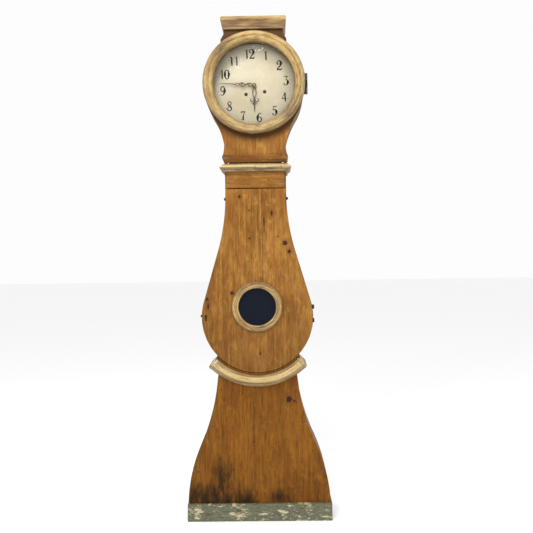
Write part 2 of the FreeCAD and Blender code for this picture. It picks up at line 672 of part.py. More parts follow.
# Going train: great wheel to centre pinion, centre wheel to third, third to escape wheel.
GREAT_TEETH = 96
CENTRE_TEETH = 60
THIRD_TEETH = 56
ESCAPE_TEETH = 30
LEAVES = 8
ESCAPE_LEAVES = 7
CANNON_TEETH = 20
MINUTE_TEETH = 60
MOTION_LEAVES = 12
HOUR_TEETH = 48


def module_for(wheel, pinion, wheel_teeth, pinion_teeth):
    return 2 * distance(wheel, pinion) / (wheel_teeth + pinion_teeth)


def wheel_pair(wheel, pinion, wheel_teeth, pinion_teeth, wheel_y, pinion_y, wheel_phase=0.0, hub=7):
    """A wheel with crossings and the pinion it drives, in mesh."""
    module = module_for(wheel, pinion, wheel_teeth, pinion_teeth)
    blank = toothed(wheel, wheel_teeth, module, *wheel_y, wheel_phase, WHEEL_TOOTH)
    rim = module * wheel_teeth / 2 - 1.15 * module - 3
    driver = crossed(blank, wheel, hub, rim, *wheel_y)
    phase = meshing_phase(wheel, pinion, wheel_teeth, wheel_phase, pinion_teeth)
    driven = toothed(pinion, pinion_teeth, module, *pinion_y, phase, PINION_LEAF)
    return driver, driven


DRUM_R = dim("barrel_radius")


def barrel(name, where, drum_front, drum_back):
    """A winding drum with a flange, on a stout arbor whose square end passes through the dial."""
    shaft = disc(where, 4, FRONT_PLATE + 0.4, BACK_PLATE - 0.4)
    shaft = shaft.fuse(disc(where, BIG_PIVOT, FRONT_PLATE - PLATE - 2, BACK_PLATE + PLATE))
    square = Part.makeBox(4.2, 19, 4.2, Vector(where[0] - 2.1, DIAL_BACK - 3, where[1] - 2.1))
    drum = disc(where, DRUM_R, drum_front, drum_back)
    flange = disc(where, DRUM_R + 4, drum_back, drum_back + 2)
    return keep(solid_feature(name, shaft.multiFuse([square, drum, flange]).removeSplitter()), name)


great, centre_pinion = wheel_pair(GOING, CENTRE, GREAT_TEETH, LEAVES, (-34, -31.5), (-36, -29.5), 0, 12)
great = great.cut(disc(GOING, 4 + PIVOT_CLEAR, -40, -30))
keep(solid_feature("going_great_wheel", great), "going_great_wheel")
barrel("going_barrel", GOING, -31.2, 2)

centre_wheel, third_pinion = wheel_pair(CENTRE, THIRD, CENTRE_TEETH, LEAVES, (-10, -8.5), (-13, -5.5))
third_wheel, escape_pinion = wheel_pair(THIRD, ESCAPE, THIRD_TEETH, ESCAPE_LEAVES, (3, 4.5), (0, 7))
MOTION_Y = (-44, -42.6)
minute_wheel = wheel_pair(MINUTE, CENTRE, MINUTE_TEETH, CANNON_TEETH, MOTION_Y, MOTION_Y, 0, 7)[0]
cannon_module = module_for(MINUTE, CENTRE, MINUTE_TEETH, CANNON_TEETH)
cannon_phase = meshing_phase(MINUTE, CENTRE, MINUTE_TEETH, 0, CANNON_TEETH)
cannon_wheel = toothed(CENTRE, CANNON_TEETH, cannon_module, *MOTION_Y, cannon_phase, WHEEL_TOOTH)
cannon_pipe = disc(CENTRE, 3.2, -71, FRONT_PLATE - PLATE - 1).fuse(disc(CENTRE, 2, -43, FRONT_PLATE))
hand_nut = disc(CENTRE, 4.4, -73.4, -71)
spindle("centre_arbor", CENTRE, [centre_pinion, centre_wheel, cannon_wheel, cannon_pipe, hand_nut], 2.0, 2.6)
spindle("third_arbor", THIRD, [third_pinion, third_wheel])

ESCAPE_R = 22
escape_points = []
for tooth in range(ESCAPE_TEETH):
    for share, radius in ((0, ESCAPE_R), (0.1, ESCAPE_R), (0.42, ESCAPE_R - 4.5), (0.86, ESCAPE_R - 4.5)):
        angle = (tooth + share) * 2 * math.pi / ESCAPE_TEETH
        x = ESCAPE[0] + radius * math.cos(angle)
        z = ESCAPE[1] + radius * math.sin(angle)
        escape_points.append(Vector(x, 12, z))
escape_blank = Part.Face(Part.makePolygon(escape_points + escape_points[:1])).extrude(Vector(0, 1.4, 0))
escape_wheel = crossed(escape_blank, ESCAPE, 5, ESCAPE_R - 8, 12, 13.4)
spindle("escape_arbor", ESCAPE, [escape_pinion, escape_wheel])

# Motion work in front of the front plate.
hour_module = module_for(CENTRE, MINUTE, HOUR_TEETH, MOTION_LEAVES)
hour_blank = toothed(CENTRE, HOUR_TEETH, hour_module, -48, -46.6, 0, WHEEL_TOOTH)
hour_wheel = crossed(hour_blank, CENTRE, 8, hour_module * 20, -48, -46.6).fuse(disc(CENTRE, 5.2, -67, -46.6))
hour_wheel = hour_wheel.cut(disc(CENTRE, 3.2 + PIVOT_CLEAR, -80, -40))
keep(solid_feature("hour_wheel", hour_wheel), "hour_wheel")
minute_pinion_phase = meshing_phase(CENTRE, MINUTE, HOUR_TEETH, 0, MOTION_LEAVES)
minute_pinion = toothed(MINUTE, MOTION_LEAVES, hour_module, -48.6, -44, minute_pinion_phase, PINION_LEAF)
minute_set = minute_wheel.fuse(minute_pinion).cut(disc(MINUTE, 1.5 + PIVOT_CLEAR, -60, -40))
keep(solid_feature("minute_wheel", minute_set), "minute_wheel")


def oval(centre_along, half_long, half_wide, band, front, back):
    """An oval loop of flat metal lying along +X from the hand's hub."""
    loops = []
    for grow in (0, -band):
        curve = Part.Ellipse(Vector(centre_along, 0, 0), half_long + grow, half_wide + grow)
        face = Part.Face(Part.Wire(curve.toShape()))
        face.rotate(Vector(0, 0, 0), Vector(1, 0, 0), 90)
        face.translate(Vector(0, back, 0))
        loops.append(face.extrude(Vector(0, front - back, 0)))
    return loops[0].cut(loops[1])


def hand(name, loops, pointer_start, reach, hub_bore, front, back, angle):
    """A sawn hand: hub, oval loops in a row, and a tapering pointer. It is turned to its angle from +X."""
    hub = Part.makeCylinder(8.5, back - front, Vector(0, front, 0), Vector(0, 1, 0))
    tip = Part.Face(Part.makePolygon([Vector(pointer_start, front, -2.2), Vector(reach, front, 0),
                                      Vector(pointer_start, front, 2.2), Vector(pointer_start, front, -2.2)]))
    pieces = [oval(*loop, front, back) for loop in loops] + [tip.extrude(Vector(0, back - front, 0))]
    whole = hub.multiFuse(pieces)
    whole = whole.cut(Part.makeCylinder(hub_bore, 20, Vector(0, front - 5, 0), Vector(0, 1, 0)))
    whole.rotate(Vector(0, 0, 0), Vector(0, 1, 0), -angle)
    return keep(solid_feature(name, whole, Vector(0, 0, DIAL_Z)), name)


hand("hour_hand", [(31, 24, 6.5, 2), (66, 13, 12.9, 2.5)], 77, 112, 5.2, -66.4, -65.2, -90)
hand("minute_hand", [(24, 16.5, 6, 1.8), (47, 10, 6, 1.8), (66, 10, 5, 1.8)], 75, 148, 3.2, -70.6, -69.4, 176)

# Escapement and pendulum. The pendulum hangs from the back cock behind the plates.
PENDULUM_Y = dim("pendulum_y")
PIVOT_Z = ANCHOR[1]
ROD_LENGTH = PIVOT_Z - (dim("window_z") + 16)
pallets = Part.makeBox(34, 3, 5, Vector(-17, 11.2, PIVOT_Z - 8))
for side in (-1, 1):
    pallet = Part.makeBox(4, 3, 4.5, Vector(side * 15 - 2, 11.2, PIVOT_Z - 10.5))
    pallets = pallets.fuse(pallet)
boss = disc(ANCHOR, 4.5, 11.2, 14.2).fuse(Part.makeBox(6, 3, 8, Vector(-3, 11.2, PIVOT_Z - 8)))
anchor_shaft = disc(ANCHOR, ARBOR_R, FRONT_PLATE + 0.4, 32.4)
anchor_shaft = anchor_shaft.fuse(disc(ANCHOR, FINE_PIVOT, FRONT_PLATE - PLATE, 36))
crutch = Part.makeBox(5, 2, 112, Vector(-2.5, 28, PIVOT_Z - 112)).fuse(disc(ANCHOR, 4, 28, 30))
fork = Part.makeBox(9, 16, 3, Vector(-4.5, 28, PIVOT_Z - 112))
fork = fork.cut(Part.makeBox(5.2, 12, 9, Vector(-2.6, 34.5, PIVOT_Z - 115)))
anchor = anchor_shaft.multiFuse([pallets, boss, crutch, fork])
keep(solid_feature("anchor_and_crutch", anchor), "anchor_and_crutch")

spring = Part.makeBox(8, 0.6, 40, Vector(-4, PENDULUM_Y - 0.3, PIVOT_Z - 34.5))
rod = Part.makeCylinder(2.2, ROD_LENGTH + 50, Vector(0, PENDULUM_Y, PIVOT_Z - ROD_LENGTH - 84))
BOB_R = dim("bob_radius")
BOB_HALF = 11
bob_crown, bob_half, bob_mid = dome_arc(BOB_R, BOB_HALF - 1, -1, -1)
bob_profile = [(0, bob_crown), (BOB_R, -1, bob_half, bob_mid), (BOB_R, 1),
               (0, -bob_crown, bob_half, -bob_mid)]
bob_body = turned("bob_blank", bob_profile, "Y", ("0", "pendulum_y", str(PIVOT_Z - ROD_LENGTH)))
bob_hole = doc.addObject("Part::Cylinder", "bob_hole")
bob_hole.Radius = 2.3
bob_hole.Height = 160
bob_hole.Placement.Base = Vector(0, PENDULUM_Y, PIVOT_Z - ROD_LENGTH - 80)
keep(cut("pendulum_bob", bob_body, bob_hole), "pendulum_bob")
nut = Part.makeCylinder(8, 7, Vector(0, PENDULUM_Y, PIVOT_Z - ROD_LENGTH - 71))
nut = nut.cut(Part.makeCylinder(2.3, 9, Vector(0, PENDULUM_Y, PIVOT_Z - ROD_LENGTH - 72)))
together("pendulum_rod", solid_feature("rod", rod.fuse(spring)), solid_feature("rating_nut", nut))

# Back cock: it holds the rear pivot of the anchor and the top of the suspension spring.
cock_arms = [Part.makeBox(7, 10, 22, Vector(x, 23, PIVOT_Z - 6)) for x in (-24, 17)]
cock_bridge = Part.makeBox(48, 3, 22, Vector(-24, 33, PIVOT_Z - 6))
cock_tail = Part.makeBox(12, 8, 8, Vector(-6, 36, PIVOT_Z + 6))
cock = cock_arms[0].multiFuse([cock_arms[1], cock_bridge, cock_tail])
cock = cock.cut(disc(ANCHOR, FINE_PIVOT + PIVOT_CLEAR, 30, 40))
together("back_plate", solid_feature("back_plate_sheet", back_plate),
         solid_feature("back_cock", cock.removeSplitter()))

# Striking train. The great wheel carries the count wheel, and eight pins lift the hammer tail.
STRIKE_GREAT_TEETH = 78
PIN_TEETH = 64
HOOP_TEETH = 56
WARNING_TEETH = 48
FLY_LEAVES = 6
PINS = 8
strike_great, pin_pinion = wheel_pair(STRIKE, PIN_WHEEL, STRIKE_GREAT_TEETH, LEAVES, (-28.5, -26), (-31, -24),
                                      0, 12)
count_blank = disc(STRIKE, 28, -30.5, -28.5).cut(disc(STRIKE, 20, -31, -28))
STRIKES_IN_12_HOURS = sum(range(1, 13))
count_share = 0
for hour in range(1, 13):
    count_share += hour
    slot = Part.makeBox(4, 4, 5, Vector(24, -31.5, -2.5))
    slot.rotate(Vector(0, 0, 0), Vector(0, 1, 0), count_share / STRIKES_IN_12_HOURS * 360)
    slot.translate(Vector(STRIKE[0], 0, STRIKE[1]))
    count_blank = count_blank.cut(slot)
strike_great = strike_great.fuse(count_blank).cut(disc(STRIKE, 4 + PIVOT_CLEAR, -40, -20))
keep(solid_feature("strike_great_wheel", strike_great), "strike_great_wheel")
barrel("strike_barrel", STRIKE, -25.7, 7)
pin_wheel, hoop_pinion = wheel_pair(PIN_WHEEL, HOOP, PIN_TEETH, LEAVES, (10, 11.5), (8, 14))
pins = []
for index in range(PINS):
    angle = index * 2 * math.pi / PINS + 0.2
    where = (PIN_WHEEL[0] + 23 * math.cos(angle), PIN_WHEEL[1] + 23 * math.sin(angle))
    pins.append(disc(where, 1.1, 11.5, 16))
spindle("pin_wheel_arbor", PIN_WHEEL, [pin_pinion, pin_wheel] + pins)
hoop_wheel, warning_pinion = wheel_pair(HOOP, WARNING, HOOP_TEETH, ESCAPE_LEAVES, (-20, -18.5), (-22, -16))
spindle("hoop_wheel_arbor", HOOP, [hoop_pinion, hoop_wheel])
warning_wheel, fly_pinion = wheel_pair(WARNING, FLY, WARNING_TEETH, FLY_LEAVES, (-8, -6.6), (-10, -4.5), 0, 5)
spindle("warning_wheel_arbor", WARNING, [warning_pinion, warning_wheel])
fly_blade = Part.makeBox(30, 12, 0.8, Vector(FLY[0] - 15, -1, FLY[1] - 0.4)).fuse(disc(FLY, 2.6, -2, 12))
spindle("fly_arbor", FLY, [fly_pinion, fly_blade], radius=FLY_ARBOR_R)

# Hammer and bell. The hammer's tail stops just short of the pins' circle.
tail_end = (PIN_WHEEL[0] + 26.5 * math.cos(2.6), PIN_WHEEL[1] + 26.5 * math.sin(2.6))
BELL_R = 36
BELL_LOW = PLATE_HIGH + 28
BELL_X = 14
BELL_Y = -15
BELL_TALL = 34
bell_profile = [(3.1, BELL_TALL), (BELL_R, 0, 28, 24), (BELL_R - 2.4, 0), (3.1, BELL_TALL - 2.6, 26, 21.8)]
keep(turned("bell", bell_profile, "Z", (str(BELL_X), str(BELL_Y), str(BELL_LOW))), "bell")
bell_top = BELL_LOW + BELL_TALL
post = Part.makeBox(6, 3, bell_top - PLATE_HIGH + 27, Vector(BELL_X - 3, BACK_PLATE + PLATE, PLATE_HIGH - 22))
bell_arm = Part.makeBox(6, BACK_PLATE + PLATE - BELL_Y + 9, 3, Vector(BELL_X - 3, BELL_Y - 6, bell_top + 2))
bell_screw = Part.makeCylinder(3, 12, Vector(BELL_X, BELL_Y, bell_top - 8))
bell_washer = Part.makeCylinder(6.5, 1.8, Vector(BELL_X, BELL_Y, bell_top + 0.2))
bell_stand = post.multiFuse([bell_arm, bell_screw, bell_washer])
keep(solid_feature("bell_stand", bell_stand.removeSplitter()), "bell_stand")
hammer_rod = Part.makeBox(3, 3, PLATE_HIGH + 36 - HAMMER[1], Vector(HAMMER[0] - 1.5, 14.6, HAMMER[1]))
hammer_head = Part.makeBox(50.6, 9, 9, Vector(HAMMER[0] - 1.5, 11.6, PLATE_HIGH + 29))
hammer_tail = Part.makeBox(3, 3, HAMMER[1] - tail_end[1], Vector(HAMMER[0] - 1.5, 14.6, tail_end[1]))
spindle("hammer_arbor", HAMMER, [hammer_rod, hammer_head, hammer_tail])

# Weights. Each hangs in the bight of its line, on a pulley. They are run down at rest.
PULLEY_R = dim("pulley_radius")
LINE_R = 1.0
LINE_OUT = DRUM_R + LINE_R + 0.3
PULLEY_Z = 470
PULLEY_Y = -12
WEIGHT_R = dim("weight_radius")
WEIGHT_TOP = PULLEY_Z - 50
WEIGHT_LOW = WEIGHT_TOP - dim("weight_height")
SEAT_LOW = SEAT_TOP - dim("seat_thick")
for name, where, side in (("going", GOING, 1), ("strike", STRIKE, -1)):
    strand_x = where[0] + side * LINE_OUT
    pulley_x = strand_x - side * LINE_OUT
    weight_profile = [(0, 0), (WEIGHT_R - 2, 0), (WEIGHT_R, 2), (WEIGHT_R, WEIGHT_TOP - WEIGHT_LOW - 6),
                      (WEIGHT_R - 6, WEIGHT_TOP - WEIGHT_LOW), (0, WEIGHT_TOP - WEIGHT_LOW)]
    weight_place = (str(pulley_x), str(PULLEY_Y), str(WEIGHT_LOW))
    weight_body = turned(f"{name}_weight_body", weight_profile, "Z", weight_place)
    doc.recompute()
    stem = Part.makeCylinder(2.5, 18, Vector(pulley_x, PULLEY_Y, WEIGHT_TOP - 1))
    yoke = Part.makeBox(10, 14, 3, Vector(pulley_x - 5, PULLEY_Y - 7, WEIGHT_TOP + 16))
    cheek_height = PULLEY_Z - WEIGHT_TOP - 9
    cheeks = [Part.makeBox(10, 1.6, cheek_height, Vector(pulley_x - 5, PULLEY_Y + y, WEIGHT_TOP + 16))
              for y in (-7, 5.4)]
    axle = disc((pulley_x, PULLEY_Z), 2, PULLEY_Y - 7, PULLEY_Y + 7)
    stirrup = stem.multiFuse([yoke, axle] + cheeks)
    keep(solid_feature(f"{name}_weight", weight_body.Shape.fuse(stirrup)), f"{name}_weight")
    sheave = disc((pulley_x, PULLEY_Z), DRUM_R, PULLEY_Y - 2.2, PULLEY_Y + 2.2)
    rims = [disc((pulley_x, PULLEY_Z), PULLEY_R + 1, PULLEY_Y + y, PULLEY_Y + y + 2.2) for y in (-4.4, 2.2)]
    sheave = sheave.multiFuse(rims).cut(disc((pulley_x, PULLEY_Z), 2 + CLEAR, PULLEY_Y - 9, PULLEY_Y + 9))
    keep(solid_feature(f"{name}_pulley", sheave), f"{name}_pulley")
    strands = [Part.makeCylinder(LINE_R, SEAT_LOW - 0.5 - PULLEY_Z, Vector(x, PULLEY_Y, PULLEY_Z))
               for x in (strand_x, strand_x - 2 * side * LINE_OUT)]
    keep(solid_feature(f"{name}_line", Part.makeCompound(strands)), f"{name}_line")

# Every feature has to be sound before anything is written.
doc.recompute()
for feature in doc.Objects:
    if {"Invalid", "Error"} & set(feature.State):
        raise SystemExit(f"{feature.Label} failed: {feature.State}")
for label, feature in nodes.items():
    if feature.Shape.isNull() or not feature.Shape.isValid():
        raise SystemExit(f"{label} has no sound shape")

os.makedirs("parts", exist_ok=True)
for label, feature in nodes.items():
    feature.Shape.exportStep(f"parts/{label}.step")
print(len(nodes), "nodes")
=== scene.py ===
import json
import math

import bmesh
import bpy
from mathutils import Matrix, Vector


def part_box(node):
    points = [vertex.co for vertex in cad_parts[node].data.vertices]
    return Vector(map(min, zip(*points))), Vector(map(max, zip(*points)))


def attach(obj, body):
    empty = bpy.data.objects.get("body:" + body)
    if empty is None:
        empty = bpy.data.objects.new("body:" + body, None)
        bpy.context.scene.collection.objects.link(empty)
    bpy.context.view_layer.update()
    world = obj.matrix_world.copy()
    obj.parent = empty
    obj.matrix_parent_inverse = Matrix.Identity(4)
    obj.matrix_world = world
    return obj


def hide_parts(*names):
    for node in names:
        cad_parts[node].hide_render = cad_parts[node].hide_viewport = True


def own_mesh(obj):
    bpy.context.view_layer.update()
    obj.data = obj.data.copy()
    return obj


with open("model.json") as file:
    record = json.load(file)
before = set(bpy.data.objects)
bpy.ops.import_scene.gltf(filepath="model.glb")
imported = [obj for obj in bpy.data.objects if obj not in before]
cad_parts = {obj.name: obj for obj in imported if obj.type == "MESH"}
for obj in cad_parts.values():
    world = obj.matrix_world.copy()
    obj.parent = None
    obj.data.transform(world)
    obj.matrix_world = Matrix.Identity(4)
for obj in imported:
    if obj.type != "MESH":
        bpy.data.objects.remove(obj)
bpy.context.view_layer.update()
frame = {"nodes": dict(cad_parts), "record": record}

# ---------------------------------------------------------------- places read from the frame
NODES = frame["nodes"]


def middle(node):
    """The middle of a CAD node's box at rest."""
    low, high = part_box(node)
    return (Vector(low) + Vector(high)) / 2


DIAL = middle("dial_plate")
DIAL_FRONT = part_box("dial_plate")[0][1]
WINDOW = middle("door_ring")
# The crescent's arcs are struck from this height on the middle line.
BELLY_Z = 0.852

# Bands of height over which painted shade and darkening fade, and the heights of single marks.
# The door, hood foot and hood top bands carry painted shade; the waist band painted shade mixed with grime.
DOOR_FADE = (0.72, 1.10)
WAIST_FADE = (1.4755, 1.4785)
WAIST_SPOTS_Z = 1.473
HOOD_FOOT_FADE = (1.500, 1.518)
HOOD_TOP_FADE = (1.945, 1.99)
CORNICE_GROOVE_Z = 2.059
CORNICE_FADE = (2.078, 2.090)

# Bands of radius over which grime, darkening and painted shade fade, about the dial's centre, the crescent's
# and each winding hole's.
BEZEL_GROOVE = (0.1685, 0.1735)
BEZEL_RIM = (0.203, 0.211)
# Painted shadow round the bezel, on the hood's front.
BEZEL_SHADOW = (0.222, 0.246)
CRESCENT_INNER = (0.247, 0.250)
# Painted shade on the crescent's undercut, mixed with its darker paint.
CRESCENT_OUTER = (0.266, 0.276)
WINDING_HOLE = (0.0068, 0.0082)


# ---------------------------------------------------------------- small helpers for node materials
class Tree:
    """A material's node tree, with one short method for each kind of node."""

    def __init__(self, name):
        self.material = bpy.data.materials.new(name)
        self.material.use_nodes = True
        self.tree = self.material.node_tree
        self.shader = self.tree.nodes["Principled BSDF"]
        self.coords = self.add("ShaderNodeTexCoord").outputs["Object"]
        self.x, self.y, self.z = self.add("ShaderNodeSeparateXYZ", self.coords).outputs

    def add(self, kind, *sources, **settings):
        """A new node whose first sockets are fed in order."""
        node = self.tree.nodes.new(kind)
        for key, value in settings.items():
            setattr(node, key, value)
        for index, source in enumerate(sources):
            self.feed(source, node.inputs[index])
        return node

    def feed(self, source, socket):
        """Link an output to a socket, or set the socket to a plain value."""
        if isinstance(source, bpy.types.NodeSocket):
            self.tree.links.new(source, socket)
        elif source is not None:
            socket.default_value = source

    def maths(self, operation, first, second=0.0, third=0.0):
        return self.add("ShaderNodeMath", first, second, third, operation=operation).outputs[0]

    def plus(self, first, second):
        return self.maths("ADD", first, second)

    def minus(self, first, second):
        return self.maths("SUBTRACT", first, second)

    def times(self, first, second):
        return self.maths("MULTIPLY", first, second)

    def absolute(self, value):
        return self.maths("ABSOLUTE", value)

    def most(self, first, *others):
        """The largest of several patterns at each point."""
        for other in others:
            first = self.maths("MAXIMUM", first, other)
        return first

    def vector(self, x, y, z):
        return self.add("ShaderNodeCombineXYZ", x, y, z).outputs[0]

    def scaled(self, factors, source=None):
        """Coordinates multiplied by a factor on each axis."""
        source = source or self.coords
        return self.add("ShaderNodeVectorMath", source, factors, operation="MULTIPLY").outputs[0]

    def noise(self, source, scale, detail=4.0, rough=0.55, distort=0.0):
        node = self.add("ShaderNodeTexNoise")
        self.feed(source, node.inputs["Vector"])
        node.inputs["Scale"].default_value = scale
        node.inputs["Detail"].default_value = detail
        node.inputs["Roughness"].default_value = rough
        node.inputs["Distortion"].default_value = distort
        return node.outputs["Fac"]

    def spread(self, source, low, high, to_low=0.0, to_high=1.0):
        """Map a range of values to another and clamp it."""
        return self.add("ShaderNodeMapRange", source, low, high, to_low, to_high).outputs[0]

    def mix(self, share, first, second):
        """A share of the second colour over the first."""
        node = self.add("ShaderNodeMix", data_type="RGBA")
        colours = [socket for socket in node.inputs if socket.type == "RGBA"]
        self.feed(share, node.inputs[0])
        self.feed(first, colours[0])
        self.feed(second, colours[1])
        return [socket for socket in node.outputs if socket.type == "RGBA"][0]

    def layered(self, colour, *layers):
        """Tints over a colour. A layer is (pattern, its low and high, the tint's share at each, tint)."""
        for pattern, (low, high), (share_low, share_high), tint in layers:
            colour = self.mix(self.spread(pattern, low, high, share_low, share_high), colour, tint)
        return colour

    def ring(self, centre_x, centre_z, squeeze=1.0):
        """The distance from a point on the front, in metres, where a height counts squeeze times."""
        dx = self.minus(self.x, centre_x)
        dz = self.times(self.minus(self.z, centre_z), squeeze)
        return self.maths("SQRT", self.plus(self.times(dx, dx), self.times(dz, dz)))

    def disc(self, centre_x, centre_z, inner, outer, share=1.0):
        """A pattern with its full share inside the inner radius about a point, gone at the outer one."""
        return self.spread(self.ring(centre_x, centre_z), inner, outer, share, 0.0)

    def around(self, centre_x, centre_z, length):
        """Coordinates that run along a circle about a point: for wear that follows a turned ring."""
        angle = self.maths("ARCTAN2", self.minus(self.z, centre_z), self.minus(self.x, centre_x))
        return self.vector(self.times(self.absolute(angle), length), self.ring(centre_x, centre_z), self.y)

    def bump(self, height, distance, strength, under=None):
        """A normal from a height pattern, laid over another normal if there is one."""
        node = self.add("ShaderNodeBump")
        node.inputs["Strength"].default_value = strength
        node.inputs["Distance"].default_value = distance
        self.feed(height, node.inputs["Height"])
        self.feed(under, node.inputs["Normal"])
        return node.outputs[0]

    def finish(self, colour, rough, normal=None, **values):
        """Feed the shader. Other sockets are given by name, with _ for a space."""
        self.feed(colour, self.shader.inputs["Base Color"])
        self.feed(rough, self.shader.inputs["Roughness"])
        self.feed(normal, self.shader.inputs["Normal"])
        for name, value in values.items():
            self.feed(value, self.shader.inputs[name.replace("_", " ")])
        return self.material


def rgb(red, green, blue):
    """An sRGB colour, from 0 to 255, as Blender's linear colour."""
    def linear(level):
        return ((level / 255 + 0.055) / 1.055) ** 2.4 if level > 10 else level / 255 / 12.92

    return (linear(red), linear(green), linear(blue), 1.0)


# ---------------------------------------------------------------- wood
LIGHT_PINE = rgb(152, 106, 48)
DEEP_PINE = rgb(118, 77, 28)
DARK_PINE = rgb(70, 40, 10)
GOLDEN_GRAIN = rgb(180, 130, 58)
RED_MOTTLE = rgb(112, 58, 18)
RED_STREAK = rgb(120, 60, 22)
WORM_HOLE = rgb(44, 28, 16)
CRACK = rgb(58, 34, 16)
SPECK = rgb(40, 28, 14)
WATER_STAIN = rgb(34, 22, 8)
KNOT_HALO = rgb(96, 58, 26)
KNOT_CORE = rgb(42, 22, 14)
# The colour of the painted shade laid over the pine.
SHADE = rgb(66, 42, 22)
DUST = rgb(96, 84, 62)


def worm_holes(tree):
    """A pattern of pin holes that come in clusters."""
    cells = tree.add("ShaderNodeTexVoronoi", feature="F1")
    tree.feed(tree.coords, cells.inputs["Vector"])
    cells.inputs["Scale"].default_value = 34.0
    clusters = tree.spread(tree.noise(tree.coords, 5.0, 1.0), 0.50, 0.58)
    return tree.times(tree.spread(cells.outputs["Distance"], 0.035, 0.055, 1.0, 0.0), clusters)


def specks(tree, share):
    """A pattern of fine specks that come in clusters."""
    dots = tree.spread(tree.noise(tree.scaled((1.0, 1.0, 0.8)), 210.0, 3.0, 0.7), 0.61, 0.65)
    clusters = tree.spread(tree.noise(tree.coords, 11.0, 2.0), 0.44, 0.56)
    return tree.times(tree.times(dots, clusters), share)


def crack(tree, x, low, high):
    """A pattern of one thin upright crack between two heights, which sways about a millimetre."""
    sway = tree.spread(tree.noise(tree.scaled((1.0, 1.0, 9.0)), 1.0, 2.0), 0.3, 0.7, -0.0012, 0.0012)
    off = tree.absolute(tree.minus(tree.plus(tree.x, sway), x))
    inside = tree.times(tree.maths("GREATER_THAN", tree.z, low), tree.maths("LESS_THAN", tree.z, high))
    return tree.times(inside, tree.spread(off, 0.0004, 0.0012, 0.75, 0.0))


def water_stains(tree, colour, stains):
    """Dark ragged stains. A stain is (x, z, radius, squeeze)."""
    ragged = tree.spread(tree.noise(tree.scaled((1.0, 1.0, 0.35)), 44.0, 6.0, 0.7), 0.3, 0.7, -1.0, 1.0)
    for x, z, radius, squeeze in stains:
        cloud = tree.plus(tree.ring(x, z, squeeze), tree.times(ragged, radius * 0.65))
        colour = tree.layered(colour, (cloud, (0.0, radius * 1.5), (0.92, 0.0), WATER_STAIN))
    return colour


def dark_spots(tree, colour, spots):
    """Knots, nail stains and plugs: a dark core with a soft halo. A spot is (x, z, radius, squeeze)."""
    grit = tree.noise(tree.coords, 140)
    for x, z, radius, squeeze in spots:
        ragged = tree.plus(tree.ring(x, z, squeeze), tree.spread(grit, 0.3, 0.7, -0.2 * radius, 0.2 * radius))
        colour = tree.layered(colour, (ragged, (radius * 0.9, radius * 2.4), (0.5, 0.0), KNOT_HALO),
                              (ragged, (radius * 0.75, radius), (0.92, 0.0), KNOT_CORE))
    return colour


def pine(name, light=LIGHT_PINE, deep=DEEP_PINE, dark=DARK_PINE, gleam=GOLDEN_GRAIN, across=False, dull=0.0,
         speckled=0.0, knots=(), stains=(), cracks=(), shade_of=None):
    """Waxed old pine, with its grain up or across. shade_of gives a pattern of painted shade, and dull is
    dust.
    """
    tree = Tree(name)

    def along_grain(slow, fast):
        return (slow, 30.0, fast) if across else (fast, 30.0, slow)

    # The grain is drawn by lines, bent by a slow warp, with fine lines, flecks and gold streaks along it.
    warp = tree.noise(tree.scaled((2.0, 2.0, 1.2)), 2.2, 2.0)
    bend = tree.vector(tree.times(warp, 5.0), 0.0, 0.0)
    bent = tree.add("ShaderNodeVectorMath", tree.scaled(along_grain(2.4, 62.0)), bend, operation="ADD")
    lines = tree.noise(bent.outputs[0], 1.0, 7.0, 0.62, 0.25)
    fine = tree.noise(tree.scaled(along_grain(11.0, 260.0)), 1.0, 5.0, 0.7)
    flecks = tree.noise(tree.scaled(along_grain(16.0, 150.0)), 1.0, 4.0, 0.6, 0.2)
    gold = tree.noise(tree.scaled(along_grain(3.6, 105.0)), 1.0, 4.0, 0.6)
    # Patches, mottle and red are cloudy changes of colour over it.
    patches = tree.noise(tree.scaled((1.0, 1.0, 0.55)), 7.0, 3.0, 0.55, 0.4)
    mottle = tree.noise(tree.scaled(along_grain(0.45, 1.0)), 46.0, 4.0, 0.6, 0.8)
    red = tree.noise(tree.scaled((1.6, 1.0, 0.8)), 9.0, 3.0)
    colour = tree.layered(
        light,
        (patches, (0.36, 0.64), (0.0, 1.0), deep),
        (lines, (0.45, 0.68), (0.0, 0.55), deep),
        (lines, (0.58, 0.76), (0.0, 0.35), dark),
        (gold, (0.50, 0.68), (0.0, 0.4), gleam),
        (mottle, (0.52, 0.68), (0.0, 0.45), RED_MOTTLE),
        (mottle, (0.32, 0.46), (0.45, 0.0), gleam),
        (flecks, (0.54, 0.72), (0.0, 0.5), dark),
        (flecks, (0.30, 0.46), (0.4, 0.0), light),
        (fine, (0.52, 0.70), (0.0, 0.5), dark),
        (red, (0.52, 0.72), (0.0, 0.3), RED_STREAK))
    holes = worm_holes(tree)
    colour = tree.mix(holes, colour, WORM_HOLE)
    for x, low, high in cracks:
        colour = tree.mix(crack(tree, x, low, high), colour, CRACK)
    if speckled:
        colour = tree.mix(specks(tree, speckled), colour, SPECK)
    colour = water_stains(tree, colour, stains)
    colour = dark_spots(tree, colour, knots)
    # Painted shade, laid over the wood where the shade pattern says.
    if shade_of:
        colour = tree.mix(shade_of(tree), colour, SHADE)
    if dull:
        colour = tree.mix(dull, colour, DUST)
    rough = tree.spread(lines, 0.3, 0.8, 0.42 + dull * 0.3, 0.62 + dull * 0.3)
    relief = tree.bump(tree.plus(lines, tree.times(fine, 0.5)), 0.0009, 0.8)
    drilled = tree.bump(tree.times(holes, -1.0), 0.002, 1.0, relief)
    return tree.finish(colour, rough, drilled, Specular_IOR_Level=0.1)


def door_shade(tree):
    """Painted shade: the door is darkened towards its foot, as the light from above falls off."""
    return tree.spread(tree.z, *DOOR_FADE, 0.26, 0.0)


